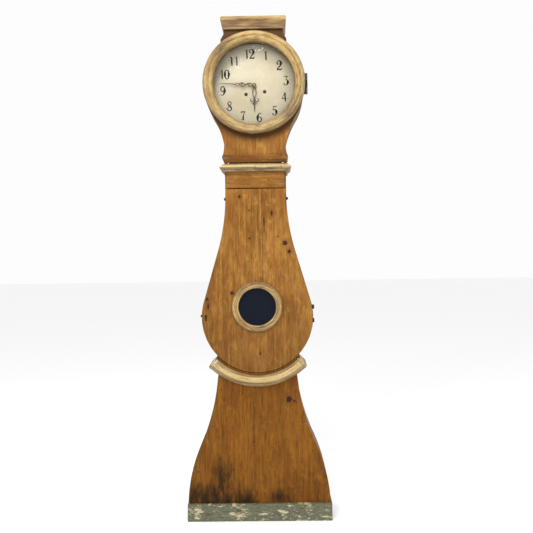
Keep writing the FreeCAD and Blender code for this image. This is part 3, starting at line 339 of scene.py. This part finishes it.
def hood_shade(tree):
    """Painted shadow: the hood's front is darkened round the bezel and under the cornice, which shade it."""
    under_cornice = tree.spread(tree.z, *HOOD_TOP_FADE, 0.0, 0.92)
    return tree.most(tree.disc(DIAL.x, DIAL.z, *BEZEL_SHADOW, 0.85), under_cornice)


def foot_shade(tree):
    """Painted shade: the hood's bottom rail is darkened along its lower edge, under its bevel."""
    return tree.spread(tree.z, *HOOD_FOOT_FADE, 0.7, 0.1)


# Knots, nail stains and plugs on the boards: x, z, radius and squeeze.
DOOR_KNOTS = (
    (0.120, 1.160, 0.012, 1.1), (0.137, 1.125, 0.008, 1.0), (0.090, 1.188, 0.0028, 1.0),
    (-0.028, 1.299, 0.003, 1.0), (-0.028, 1.182, 0.004, 1.0), (-0.068, 1.356, 0.006, 0.9),
    (-0.209, 0.929, 0.006, 0.7), (-0.105, 0.954, 0.008, 1.0), (0.033, 1.249, 0.0026, 0.10),
    (0.066, 1.286, 0.0045, 0.3), (-0.205, 0.900, 0.004, 0.25), (0.010, 0.700, 0.004, 0.7))
BASE_KNOTS = (
    (0.128, 0.506, 0.013, 0.85), (0.150, 0.500, 0.005, 0.9), (0.157, 0.493, 0.003, 1.0),
    (0.060, 0.600, 0.003, 1.0), (-0.02, 0.33, 0.003, 0.8))
FRIEZE_KNOTS = ((0.055, 1.425, 0.003, 2.0), (-0.07, 1.392, 0.0025, 1.0))
HOOD_KNOTS = ((-0.125, 1.648, 0.004, 1.0),)
BASE_STAINS = (
    (-0.17, 0.085, 0.12, 1.9), (-0.25, 0.10, 0.08, 1.5), (-0.06, 0.08, 0.06, 1.7), (0.085, 0.095, 0.05, 1.6),
    (-0.16, 0.18, 0.04, 0.6))
# The crack in the door: x, and the heights of its two ends.
DOOR_CRACKS = ((0.024, 1.0, 1.388),)


# ---------------------------------------------------------------- paint and ink
PAINT_SPECK = rgb(128, 98, 52)
RUBBED_WOOD = rgb(92, 62, 30)
CHIPPED_WOOD = rgb(74, 46, 24)
# The mouldings' default colour of grime and painted shade.
MOULDING_DIRT_AND_SHADE = rgb(84, 62, 38)


def worn_paint(name, run_of, dirt_and_shade_of, shade, pale, dirt_and_shade=MOULDING_DIRT_AND_SHADE, worn=0.5, relief=0.0008,
               run_scale=9.0):
    """Old cream and gold paint, rubbed through to brown.

    run_of gives coordinates whose x runs along the moulding, and the next argument gives the pattern of grime
    and painted shade.
    """
    tree = Tree(name)
    run = run_of(tree)
    streak = tree.noise(tree.scaled((run_scale, 300.0, 300.0), run), 1.0, 6.0, 0.6)
    broad = tree.noise(tree.scaled((run_scale * 0.6, 45.0, 45.0), run), 1.0, 4.0, 0.6)
    speck = tree.noise(tree.coords, 160.0, 5.0, 0.65)
    rubbed = tree.times(tree.spread(streak, 0.56 - 0.12 * worn, 0.68 - 0.1 * worn),
                        tree.spread(broad, 0.38, 0.62, 0.35, 1.0))
    chips = tree.spread(tree.noise(tree.scaled((60.0, 160.0, 160.0), run), 1.0, 5.0, 0.7), 0.66, 0.72)
    cloud = tree.noise(tree.scaled((16.0, 90.0, 90.0), run), 1.0, 5.0, 0.65)
    colour = tree.layered(pale, (broad, (0.32, 0.68), (0.0, 1.0), shade),
                          (speck, (0.52, 0.68), (0.0, 0.5), PAINT_SPECK))
    colour = tree.mix(tree.times(rubbed, 0.85), colour, RUBBED_WOOD)
    colour = tree.mix(tree.times(chips, 0.8), colour, CHIPPED_WOOD)
    # Grime and painted shade, in a cloudy pattern.
    colour = tree.mix(tree.times(dirt_and_shade_of(tree), tree.spread(cloud, 0.36, 0.6, 0.35, 1.0)), colour, dirt_and_shade)
    height = tree.minus(tree.times(broad, 0.6), tree.plus(rubbed, chips))
    rough = tree.spread(streak, 0.3, 0.8, 0.42, 0.68)
    return tree.finish(colour, rough, tree.bump(height, relief, 0.8), Specular_IOR_Level=0.4)


def bezel_dirt(tree):
    """Dirt in the groove round the glass and where hands have held the ring, a darker outer rim, and painted
    shade on its lower part.
    """
    groove = tree.disc(DIAL.x, DIAL.z, *BEZEL_GROOVE, 0.9)
    rim = tree.spread(tree.ring(DIAL.x, DIAL.z), *BEZEL_RIM, 0.0, 0.8)
    upper_left = tree.disc(DIAL.x - 0.135, DIAL.z + 0.125, 0.02, 0.10, 0.75)
    lower_right = tree.disc(DIAL.x + 0.145, DIAL.z - 0.12, 0.02, 0.11, 0.8)
    # Painted shade: the ring is darkened towards its foot, as the light comes from above.
    low = tree.spread(tree.z, DIAL.z - 0.20, DIAL.z + 0.10, 0.42, 0.0)
    return tree.most(groove, rim, upper_left, lower_right, low)


def window_dirt(tree):
    """Darker rings along the turned grooves of the window ring."""
    waves = tree.absolute(tree.maths("SINE", tree.times(tree.ring(WINDOW.x, WINDOW.z), 420.0)))
    return tree.times(0.7, waves)


def crescent_dirt(tree):
    """Painted shade mixed with darker paint on the crescent's outer undercut, and grime along its inner edge.
    """
    # Painted shade on the undercut, partly its darker paint.
    outer = tree.spread(tree.ring(0.0, BELLY_Z), *CRESCENT_OUTER, 0.0, 0.75)
    return tree.most(outer, tree.disc(0.0, BELLY_Z, *CRESCENT_INNER, 0.7))


def waist_dirt(tree):
    """Painted shade mixed with grime below the waist moulding's bead, and two dark spots in it."""
    # Painted shade under the bead, partly grime.
    low = tree.spread(tree.z, *WAIST_FADE, 0.85, 0.0)
    return tree.most(low, *(tree.disc(x, WAIST_SPOTS_Z, 0.004, 0.009) for x in (0.0, 0.108)))


def cornice_dirt(tree):
    """Darker over the cornice's lower part and along its groove."""
    low = tree.spread(tree.z, *CORNICE_FADE, 0.7, 0.0)
    off_groove = tree.absolute(tree.minus(tree.z, CORNICE_GROOVE_Z))
    return tree.most(low, tree.spread(off_groove, 0.001, 0.004, 1.0, 0.0))


def level_run(tree):
    """Coordinates for a straight moulding across the front."""
    return tree.vector(tree.x, tree.z, tree.y)


def plinth_paint():
    """Green-grey paint, chipped in long patches to cream ground and brown wood."""
    tree = Tree("plinth_paint")
    broad = tree.noise(tree.scaled((6.0, 6.0, 18.0)), 2.9, 8.0, 0.72)
    chip = tree.noise(tree.scaled((24.0, 24.0, 60.0)), 1.8, 7.0, 0.75)
    speck = tree.noise(tree.coords, 150.0, 4.0)
    colour = tree.layered(rgb(92, 94, 70), (broad, (0.35, 0.65), (0.0, 1.0), rgb(66, 70, 54)),
                          (speck, (0.45, 0.7), (0.0, 0.4), rgb(130, 128, 100)))
    lost = tree.most(tree.spread(broad, 0.545, 0.58), tree.spread(chip, 0.58, 0.62))
    bare = tree.spread(tree.noise(tree.scaled((10.0, 10.0, 40.0)), 2.0, 5.0, 0.7), 0.57, 0.61)
    colour = tree.mix(tree.times(lost, 0.9), colour, rgb(186, 176, 142))
    colour = tree.mix(tree.times(bare, 0.85), colour, rgb(78, 58, 36))
    height = tree.plus(tree.times(lost, -1.0), tree.times(bare, -0.6))
    return tree.finish(colour, tree.spread(speck, 0.3, 0.7, 0.6, 0.8), tree.bump(height, 0.0011, 0.9))


def dial_paint():
    """Cream paint on sheet iron: faint clouds, darkening towards the rim, scratches and dark winding holes.
    """
    tree = Tree("dial_paint")
    cloud = tree.noise(tree.coords, 9.0, 5.0, 0.6)
    fine = tree.noise(tree.coords, 90.0, 4.0, 0.6)
    scratch = tree.noise(tree.scaled((12.0, 1.0, 90.0)), 3.0, 5.0, 0.75)
    colour = tree.layered(
        rgb(198, 190, 170),
        (cloud, (0.35, 0.68), (0.0, 1.0), rgb(182, 171, 146)),
        (fine, (0.55, 0.75), (0.0, 0.3), rgb(170, 154, 122)),
        (tree.ring(DIAL.x, DIAL.z), (0.150, 0.174), (0.0, 0.5), rgb(136, 122, 98)),
        (scratch, (0.66, 0.70), (0.0, 0.35), rgb(232, 226, 210)))
    for node in ("going_barrel", "strike_barrel"):
        hole = middle(node)
        colour = tree.mix(tree.disc(hole.x, hole.z, *WINDING_HOLE, 0.95), colour, rgb(26, 22, 18))
    return tree.finish(colour, tree.spread(cloud, 0.3, 0.7, 0.42, 0.6), tree.bump(cloud, 0.0012, 0.4))


def black_ink():
    """Old black enamel of the numerals, thin in places."""
    tree = Tree("numeral_ink")
    thin = tree.noise(tree.coords, 240.0, 4.0, 0.6)
    colour = tree.layered(rgb(5, 5, 6), (thin, (0.60, 0.76), (0.0, 0.4), rgb(60, 54, 46)))
    return tree.finish(colour, tree.spread(thin, 0.3, 0.7, 0.4, 0.6), Specular_IOR_Level=0.1)


# ---------------------------------------------------------------- metal, glass and gut
GLASS_IOR = 1.5


def metal(name, light, dark, rough=(0.3, 0.6), metallic=1.0):
    """Old metal: tarnish in patches, fine pits, and uneven polish."""
    tree = Tree(name)
    patch = tree.noise(tree.coords, 28.0, 5.0, 0.6)
    pits = tree.noise(tree.coords, 360.0, 4.0, 0.65)
    pit_colour = rgb(*(level // 2 for level in dark))
    colour = tree.layered(rgb(*light), (patch, (0.36, 0.64), (0.0, 1.0), rgb(*dark)),
                          (pits, (0.56, 0.7), (0.0, 0.5), pit_colour))
    polish = tree.spread(patch, 0.3, 0.7, *rough)
    return tree.finish(colour, polish, tree.bump(pits, 0.0003, 0.7), Metallic=metallic)


def clear_glass(name, tint, gloss, through, haze=0.0):
    """Old window glass: it lets the view through and mirrors the light in a thin, slightly wavy sheet."""
    tree = Tree(name)
    waves = tree.bump(tree.noise(tree.coords, 7.0, 2.0), 0.0015, 0.25)
    tree.finish(tint, 0.03, waves, Specular_IOR_Level=0.9)
    clear = tree.add("ShaderNodeBsdfTransparent", through)
    mirror = tree.add("ShaderNodeFresnel", GLASS_IOR)
    amount = tree.maths("MULTIPLY_ADD", mirror.outputs[0], gloss, haze)
    both = tree.add("ShaderNodeMixShader", amount, clear.outputs[0], tree.shader.outputs[0])
    tree.feed(both.outputs[0], tree.tree.nodes["Material Output"].inputs["Surface"])
    return tree.material


def twisted_line():
    """Gut line: fine slanted ridges."""
    tree = Tree("gut_line")
    twist = tree.maths("SINE", tree.plus(tree.times(tree.z, 2600.0), tree.times(tree.x, 1800.0)))
    colour = tree.layered(rgb(92, 74, 46), (twist, (-1.0, 1.0), (0.0, 1.0), rgb(150, 126, 84)))
    return tree.finish(colour, 0.7, tree.bump(twist, 0.0003, 0.8))


# ---------------------------------------------------------------- which node has which material
MATERIALS = {
    "door_panel": pine("door_pine", speckled=0.5, knots=DOOR_KNOTS, cracks=DOOR_CRACKS, shade_of=door_shade),
    # The base's pine is darker than the door's: partly its own tone, partly painted shade of the light
    # falling off downwards.
    "base_front_panel": pine("base_pine", rgb(126, 80, 22), rgb(98, 58, 12), rgb(48, 28, 6), rgb(146, 96, 26),
                             speckled=0.8, knots=BASE_KNOTS, stains=BASE_STAINS),
    "frieze_rail": pine("frieze_pine", rgb(146, 99, 44), gleam=rgb(164, 118, 56), across=True,
                        knots=FRIEZE_KNOTS),
    "hood_front_board": pine("hood_pine", knots=HOOD_KNOTS, shade_of=hood_shade),
    "hood_foot_rail": pine("foot_pine", rgb(132, 84, 28), rgb(104, 62, 18), rgb(60, 34, 12), across=True,
                           shade_of=foot_shade),
}
side_pine = pine("side_pine", rgb(128, 94, 50), rgb(100, 72, 36), rgb(64, 46, 26), dull=0.3)
board_pine = pine("board_pine", rgb(120, 94, 58), rgb(98, 74, 44), rgb(66, 50, 32), dull=0.3)
for node in ("base_sides", "trunk_sides", "hood_sides", "hood_top_board"):
    MATERIALS[node] = side_pine
for node in ("floor_board", "back_board", "seat_cheeks", "seat_board", "door_battens"):
    MATERIALS[node] = board_pine
MATERIALS["plinth_front"] = MATERIALS["plinth_sides"] = plinth_paint()
MATERIALS["bezel_ring"] = worn_paint(
    "bezel_paint", lambda tree: tree.around(DIAL.x, DIAL.z, 0.2), bezel_dirt, shade=rgb(152, 122, 70),
    pale=rgb(190, 162, 104), dirt_and_shade=rgb(54, 38, 22), worn=0.6, relief=0.0003, run_scale=34.0)
MATERIALS["door_ring"] = worn_paint(
    "window_ring_paint", lambda tree: tree.around(WINDOW.x, WINDOW.z, 0.1), window_dirt,
    shade=rgb(164, 132, 80), pale=rgb(208, 180, 118), dirt_and_shade=rgb(84, 50, 22), worn=1.2, relief=0.0007,
    run_scale=20.0)
MATERIALS["crescent_moulding"] = worn_paint(
    "crescent_paint", lambda tree: tree.around(0.0, BELLY_Z, 0.26), crescent_dirt, shade=rgb(168, 140, 88),
    pale=rgb(206, 182, 126))
MATERIALS["waist_moulding"] = worn_paint(
    "waist_paint", level_run, waist_dirt, shade=rgb(172, 146, 98), pale=rgb(212, 188, 136),
    dirt_and_shade=rgb(74, 52, 34))
MATERIALS["cornice"] = worn_paint(
    "cornice_paint", level_run, cornice_dirt, shade=rgb(132, 102, 56), pale=rgb(176, 148, 96),
    dirt_and_shade=rgb(84, 58, 30), worn=0.9, relief=0.0006, run_scale=16.0)
MATERIALS["dial_plate"] = dial_paint()

# The record gives each node a material slot, for the nodes that have no material of their own.
SLOT_MATERIALS = {
    "iron": metal("old_iron", (52, 54, 58), (30, 30, 32), rough=(0.45, 0.7), metallic=0.8),
    "brass": metal("old_brass", (176, 142, 76), (118, 88, 44)),
    "steel": metal("old_steel", (128, 126, 122), (84, 80, 76)),
    "weight_iron": metal("weight_metal", (70, 70, 72), (44, 42, 40), rough=(0.5, 0.75), metallic=0.7),
    "bell_metal": metal("bell_metal", (186, 164, 104), (130, 108, 60)),
    "line": twisted_line(),
}
# The window's glass passes only about a tenth of the view: painted shade standing in for the dark trunk
# behind it.
MATERIALS["door_glass"] = clear_glass("window_glass", rgb(64, 76, 104), 0.5, (0.10, 0.12, 0.16, 1.0), 0.085)
SLOT_MATERIALS["glass"] = clear_glass("dial_glass", rgb(230, 235, 235), 0.32, (0.97, 0.965, 0.945, 1.0))
hand_brass = metal("hand_brass", (92, 72, 42), (56, 42, 24), rough=(0.4, 0.65), metallic=0.5)
SLOT_MATERIALS["hand_metal"] = hand_brass
# The barrels behind the winding holes are near black: painted shade, so that the holes read dark.
dark_steel = metal("dark_steel", (34, 32, 30), (18, 17, 16), rough=(0.5, 0.7), metallic=0.4)
MATERIALS["going_barrel"] = MATERIALS["strike_barrel"] = dark_steel
nail_iron = metal("nail_iron", (84, 90, 92), (52, 56, 58), rough=(0.5, 0.7), metallic=0.2)
MATERIALS["case_nails"] = MATERIALS["hood_ironwork"] = nail_iron

SLOT_OF = {row["node"]: row["material_slot"] for row in frame["record"]["subparts"]}
for name, piece in NODES.items():
    material = MATERIALS.get(name) or SLOT_MATERIALS[SLOT_OF[name]]
    for slot in piece.material_slots:
        slot.material = material


# ---------------------------------------------------------------- small helpers for new meshes
CURVE_STEPS = 7


def add_mesh(name, build, material):
    """A new mesh object made by a function that fills a bmesh."""
    mesh = bpy.data.meshes.new(name)
    work = bmesh.new()
    build(work)
    work.to_mesh(mesh)
    work.free()
    piece = bpy.data.objects.new(name, mesh)
    bpy.context.scene.collection.objects.link(piece)
    mesh.materials.append(material)
    return piece


def join_rings(work, rings):
    """Faces between each ring of corners and the next."""
    count = len(rings[0])
    for first, second in zip(rings, rings[1:]):
        for index in range(count):
            after = (index + 1) % count
            work.faces.new((first[index], first[after], second[after], second[index]))


def flat_disc(work, x, z, radius, front, back, segments):
    """A round plate that faces the front, between two depths."""
    place = Matrix.Translation((x, (front + back) / 2, z)) @ Matrix.Rotation(math.pi / 2, 4, "X")
    bmesh.ops.create_cone(work, cap_ends=True, segments=segments, radius1=radius, radius2=radius,
                          depth=back - front, matrix=place)


def smooth_line(points):
    """A Catmull-Rom curve through points of any number of values."""
    points = [Vector(point) for point in points]
    ends = [points[0] * 2 - points[1]] + points + [points[-1] * 2 - points[-2]]
    line = []
    for a, b, c, d in zip(ends, ends[1:], ends[2:], ends[3:]):
        for step in range(CURVE_STEPS):
            t = step / CURVE_STEPS
            bend = 2 * a - 5 * b + 4 * c - d
            swing = 3 * b - a - 3 * c + d
            line.append(0.5 * (2 * b + (c - a) * t + bend * t ** 2 + swing * t ** 3))
    return line + [points[-1]]


def stroke(work, points, pen, place, front, back, rounded=0.0):
    """A band along a line of (x, z, half width), its edges rounded back.

    pen multiplies the widths, and place turns drawing units into the frame.
    """
    line = smooth_line([(x, z, width * pen) for x, z, width in points])
    edge = front + rounded
    profile = ((-1.0, back), (-1.0, edge), (-0.5, front), (0.5, front), (1.0, edge), (1.0, back))
    rings = []
    for index, here in enumerate(line):
        ahead = line[min(index + 1, len(line) - 1)] - line[max(index - 1, 0)]
        side = Vector((-ahead.y, ahead.x)).normalized() * here.z
        ring = []
        for share, depth in profile:
            x, z = place(here.x + side.x * share, here.y + side.y * share)
            ring.append(work.verts.new((x, depth, z)))
        rings.append(ring)
    join_rings(work, rings)
    work.faces.new(rings[0][::-1])
    work.faces.new(rings[-1])


# ---------------------------------------------------------------- numerals and minute dots
DIAL_TILT = math.radians(8.5)
NUMERAL_PEN = 1.12
NUMERAL_HEIGHT = 0.038
NUMERAL_CIRCLE = 0.1345
DIGIT_PITCH = 0.55
DOT_CIRCLE = 0.1515
DOT_RADIUS = 0.0010
HOUR_DOT_RADIUS = 0.0018
INK_PROUD = 0.00025
INK_FRONT = DIAL_FRONT - INK_PROUD
NUMERAL_BACK = DIAL_FRONT + 0.0002
THIN = 0.042
FAT = 0.125
# Each digit stands one unit high and is drawn with a broad pen, in strokes of (x, height, half width).
DIGITS = {
    "0": [[(0, 1, THIN), (-0.17, 0.86, 0.06), (-0.215, 0.5, FAT), (-0.17, 0.14, 0.06), (0, 0, THIN),
           (0.17, 0.14, 0.06), (0.215, 0.5, FAT), (0.17, 0.86, 0.06), (0, 1, THIN)]],
    "1": [[(0.03, 1.0, 0.05), (0.03, 0.5, 0.075), (0.05, 0, 0.065)],
          [(-0.13, 0.84, THIN), (-0.04, 0.9, 0.03), (0.03, 0.99, 0.03)]],
    "2": [[(-0.06, 0.66, 0.05), (-0.17, 0.66, 0.065), (-0.22, 0.82, 0.05), (-0.06, 1.0, 0.045),
           (0.14, 0.94, 0.08), (0.2, 0.72, FAT), (0.1, 0.44, 0.07), (-0.12, 0.22, 0.045), (-0.22, 0.1, 0.05),
           (-0.14, 0.0, 0.05), (-0.04, 0.1, 0.05), (0.08, 0.04, 0.07), (0.22, 0.02, 0.05),
           (0.28, 0.2, THIN)]],
    "3": [[(-0.2, 0.92, 0.045), (0.0, 0.97, 0.04), (0.2, 0.97, THIN)],
          [(0.2, 0.97, THIN), (0.06, 0.76, 0.025), (-0.02, 0.6, THIN)],
          [(-0.02, 0.6, THIN), (0.14, 0.56, 0.05), (0.22, 0.32, FAT), (0.12, 0.06, 0.055), (-0.06, 0.0, 0.03),
           (-0.2, 0.1, 0.05), (-0.17, 0.22, 0.055)]],
    "4": [[(0.1, 1.0, 0.06), (0.1, 0.5, 0.07), (0.13, 0.0, 0.06)],
          [(0.08, 0.97, THIN), (-0.1, 0.62, 0.025), (-0.27, 0.32, 0.03)],
          [(-0.27, 0.32, 0.03), (0.0, 0.34, 0.035), (0.26, 0.31, 0.03)]],
    "5": [[(-0.14, 0.96, 0.045), (0.06, 0.92, 0.05), (0.24, 1.0, THIN)],
          [(-0.13, 0.94, THIN), (-0.16, 0.74, 0.025), (-0.18, 0.56, THIN)],
          [(-0.18, 0.56, THIN), (0.02, 0.64, 0.04), (0.2, 0.4, FAT), (0.14, 0.1, 0.06), (-0.04, 0.0, 0.03),
           (-0.2, 0.1, 0.05), (-0.17, 0.22, 0.055)]],
    "6": [[(0.19, 0.86, 0.05), (0.1, 0.98, 0.03), (-0.08, 0.88, 0.05), (-0.21, 0.5, FAT), (-0.16, 0.14, 0.06),
           (0.0, 0, THIN), (0.17, 0.12, 0.055), (0.2, 0.34, 0.06), (0.12, 0.53, 0.04), (-0.04, 0.54, THIN),
           (-0.16, 0.42, THIN)]],
    "7": [[(-0.2, 0.8, THIN), (-0.18, 0.93, 0.05), (0.02, 0.93, 0.05), (0.22, 0.98, THIN)],
          [(0.22, 0.98, THIN), (0.1, 0.7, 0.035), (0.02, 0.36, 0.07), (0.03, 0.0, 0.075)]],
    "8": [[(0.02, 1.0, THIN), (-0.15, 0.9, 0.045), (-0.16, 0.72, 0.06), (0.0, 0.53, 0.07),
           (0.18, 0.34, 0.075), (0.17, 0.1, 0.05), (0.0, 0.0, THIN), (-0.19, 0.1, 0.045),
           (-0.18, 0.34, 0.04), (0.02, 0.53, 0.03), (0.16, 0.72, 0.035), (0.16, 0.9, 0.04),
           (0.02, 1.0, THIN)]],
}
# A 9 is a 6 turned by half a turn.
DIGITS["9"] = [[(-x, 1 - height, width) for x, height, width in points] for points in DIGITS["6"]]


def on_dial(minutes, radius):
    """The place of a minute mark, as x and z, on a dial that sits a little askew."""
    angle = math.radians(90 - 6 * minutes) + DIAL_TILT
    return (DIAL.x + radius * math.cos(angle), DIAL.z + radius * math.sin(angle))


def numerals(work):
    """The hours 1 to 12, all upright."""
    for hour in range(1, 13):
        middle_x, middle_z = on_dial(5 * hour, NUMERAL_CIRCLE)
        digits = str(hour)
        for index, digit in enumerate(digits):
            across = (index - (len(digits) - 1) / 2) * DIGIT_PITCH

            def put(x, z, across=across):
                return (middle_x + (x + across) * NUMERAL_HEIGHT, middle_z + (z - 0.5) * NUMERAL_HEIGHT)

            for points in DIGITS[digit]:
                stroke(work, points, NUMERAL_PEN, put, INK_FRONT, NUMERAL_BACK)


def minute_dots(work):
    """A dot at each minute, larger at the hours."""
    for minute in range(60):
        radius = HOUR_DOT_RADIUS if minute % 5 == 0 else DOT_RADIUS
        x, z = on_dial(minute, DOT_CIRCLE)
        flat_disc(work, x, z, radius, INK_FRONT, DIAL_FRONT + INK_PROUD, segments=16)


ink = black_ink()
for name, build in (("dial_numerals", numerals), ("minute_dots", minute_dots)):
    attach(add_mesh(name, build, ink), "case")


# ---------------------------------------------------------------- hands: pierced scrolls
HAND_PEN = 1.25
HAND_ROUNDING = 0.0003
HUB_RADIUS = 0.009
HOUR_HAND_TURN = math.pi
MINUTE_HAND_TURN = -math.radians(86)
SCROLL_STEPS = 8


def scroll(centre_x, centre_z, start, turn, big, small, width):
    """A spiral stroke that curls in from a big radius to a small one. The angles are in degrees."""
    points = []
    for step in range(SCROLL_STEPS + 1):
        share = step / SCROLL_STEPS
        angle = math.radians(start + turn * share)
        radius = big + (small - big) * share
        x = centre_x + radius * math.cos(angle)
        z = centre_z + radius * math.sin(angle)
        points.append((x, z, width * (1.15 - 0.3 * share)))
    return points


def mirrored_pair(strokes):
    """The strokes and their mirror images on the other side of the hand's middle line."""
    return strokes + [[(-x, z, width) for x, z, width in points] for points in strokes]


# Both hands are drawn pointing up, in millimetres from the dial's centre, in strokes of (x, z, half width).
HOUR_STROKES = mirrored_pair([
    [(1.2, 6, 1.6), (5.2, 16, 1.3), (7.2, 30, 1.3), (5.0, 42, 1.2), (1.0, 52, 1.2)],
    scroll(11.5, 60, 205, -300, 9.8, 4.2, 1.1),
    [(0.6, 52, 1.1), (1.6, 60, 1.1), (2.6, 64, 1.1)],
    [(0.4, 70, 1.1), (4.5, 72, 1.1), (6.4, 76.5, 1.3), (4.8, 79, 0.7)],
]) + [
    [(0, 48, 1.8), (0, 58, 1.1), (0, 70, 1.4)],
    [(0, 68, 1.3), (0, 80, 2.0), (0, 96, 1.4), (0, 112, 0.5)],
]
MINUTE_STROKES = [
    [(0, 7, 2.2), (5.2, 13, 1.5), (7.4, 22, 1.4), (3.6, 31, 1.5), (-3.2, 38, 1.6), (-7.4, 47, 1.5),
     (-4.6, 57, 1.3), (1.4, 63, 1.3), (4.8, 69, 1.2), (2.8, 76, 1.2), (0, 81, 1.5)],
    [(0, 7, 2.2), (-4.4, 12, 1.4), (-5.2, 18, 1.2), (-1.8, 24, 1.4), (3.0, 31, 1.6), (1.5, 38, 1.2)],
    [(-2.0, 37, 1.4), (4.4, 43, 1.4), (7.6, 51, 1.3), (4.6, 59, 1.3), (-1.0, 63, 1.2), (-4.4, 69, 1.1),
     (-2.6, 76, 1.1), (0, 81, 1.4)],
    scroll(1.6, 50, 160, -270, 4.6, 2.0, 1.1),
    scroll(0.4, 20, -20, 250, 3.8, 1.8, 1.0),
    [(0, 79, 1.9), (0, 96, 1.5), (0, 122, 1.1), (0, 148, 0.4)],
]


def hand_builder(strokes, turn, front, back):
    """A flat pierced hand about the dial's centre. turn is its tip's angle from straight up, clockwise."""
    def put(x, z):
        x, z = x / 1000, z / 1000
        return (DIAL.x + x * math.cos(turn) + z * math.sin(turn),
                DIAL.z - x * math.sin(turn) + z * math.cos(turn))

    def build(work):
        for points in strokes:
            stroke(work, points, HAND_PEN, put, front, back, HAND_ROUNDING)
        flat_disc(work, DIAL.x, DIAL.z, HUB_RADIUS, front, back, segments=40)

    return build


for node, body, strokes, turn in (("hour_hand", "hour_work", HOUR_STROKES, HOUR_HAND_TURN),
                                  ("minute_hand", "minute_work", MINUTE_STROKES, MINUTE_HAND_TURN)):
    low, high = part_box(node)
    hand = add_mesh(f"{node}_scrolls", hand_builder(strokes, turn, low[1], high[1]), hand_brass)
    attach(hand, body)
    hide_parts(node)


# ---------------------------------------------------------------- weight lines
# The strands stand the full height of each CAD line's box; nothing here shortens them as the weight rises.
LINE_RADIUS = 0.001
LINE_SIDES = 8
LINE_LEVELS = 60


def line_builder(low, high):
    """The two upright strands of a line, cut into levels so that they can be squashed."""
    def ring(work, x, z):
        corners = []
        for side in range(LINE_SIDES):
            angle = 2 * math.pi * side / LINE_SIDES
            y = (low.y + high.y) / 2 + LINE_RADIUS * math.sin(angle)
            corners.append(work.verts.new((x + LINE_RADIUS * math.cos(angle), y, z)))
        return corners

    def build(work):
        for x in (low.x + LINE_RADIUS, high.x - LINE_RADIUS):
            heights = [low.z + (high.z - low.z) * level / LINE_LEVELS for level in range(LINE_LEVELS + 1)]
            join_rings(work, [ring(work, x, z) for z in heights])

    return build


for node, joint in (("going_line", "going_weight_rise"), ("strike_line", "strike_weight_rise")):
    low, high = (Vector(corner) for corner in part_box(node))
    cord = add_mesh(f"{node}_strands", line_builder(low, high), SLOT_MATERIALS["line"])
    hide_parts(node)
    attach(cord, "case")
    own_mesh(cord)


# ---------------------------------------------------------------- floor, lights, backdrop and camera
FLOOR_REACH = 30
FLOOR_SHADE = 0.93
WORLD_SHADE = 0.98
CAMERA_TURN = math.radians(1.5)
CAMERA_ROLL = math.radians(-0.8)
CAMERA_FAR = 3.0
CAMERA_HIGH = 1.1
CAMERA_LENS = 47.1
LOOK_AT = Vector((0.040, 0.0, 1.062))


def floor_sheet(work):
    """One large level face."""
    signs = ((-1, -1), (1, -1), (1, 1), (-1, 1))
    work.faces.new([work.verts.new((x * FLOOR_REACH, y * FLOOR_REACH, 0.0)) for x, y in signs])


def area_light(name, place, target, size, power):
    """A square light at a place that shines at a target."""
    light = bpy.data.lights.new(name, "AREA")
    light.size = size
    light.energy = power
    holder = bpy.data.objects.new(name, light)
    holder.location = place
    holder.rotation_euler = (Vector(target) - Vector(place)).to_track_quat("-Z", "Y").to_euler()
    bpy.context.scene.collection.objects.link(holder)


floor_white = Tree("floor_white").finish((FLOOR_SHADE, FLOOR_SHADE, FLOOR_SHADE, 1.0), 0.9)
add_mesh("studio_floor", floor_sheet, floor_white)
area_light("key_light", (-0.9, -2.7, 3.3), (0, 0, 1.5), size=1.2, power=62)
area_light("fill_light", (2.2, -2.8, 2.0), (0, 0, 1.3), size=1.6, power=18)
# The dial's glass mirrors this one as a bright spot.
area_light("spark_light", (0.083, -1.51, 3.42), (0, 0, 1.8), size=0.36, power=24)

world = bpy.data.worlds.new("studio")
world.use_nodes = True
backdrop = world.node_tree.nodes["Background"]
backdrop.inputs["Color"].default_value = (1.0, 1.0, 1.0, 1.0)
backdrop.inputs["Strength"].default_value = WORLD_SHADE
bpy.context.scene.world = world
bpy.context.scene.view_settings.view_transform = "Standard"

camera_data = bpy.data.cameras.new("camera")
camera_data.lens = CAMERA_LENS
camera_data.sensor_width = 36
camera = bpy.data.objects.new("camera", camera_data)
place = Vector((CAMERA_FAR * math.sin(CAMERA_TURN), -CAMERA_FAR * math.cos(CAMERA_TURN), CAMERA_HIGH))
look = (LOOK_AT - place).to_track_quat("-Z", "Y").to_matrix().to_4x4()
camera.matrix_world = Matrix.Translation(place) @ look @ Matrix.Rotation(CAMERA_ROLL, 4, "Z")
bpy.context.scene.collection.objects.link(camera)
bpy.context.scene.camera = camera
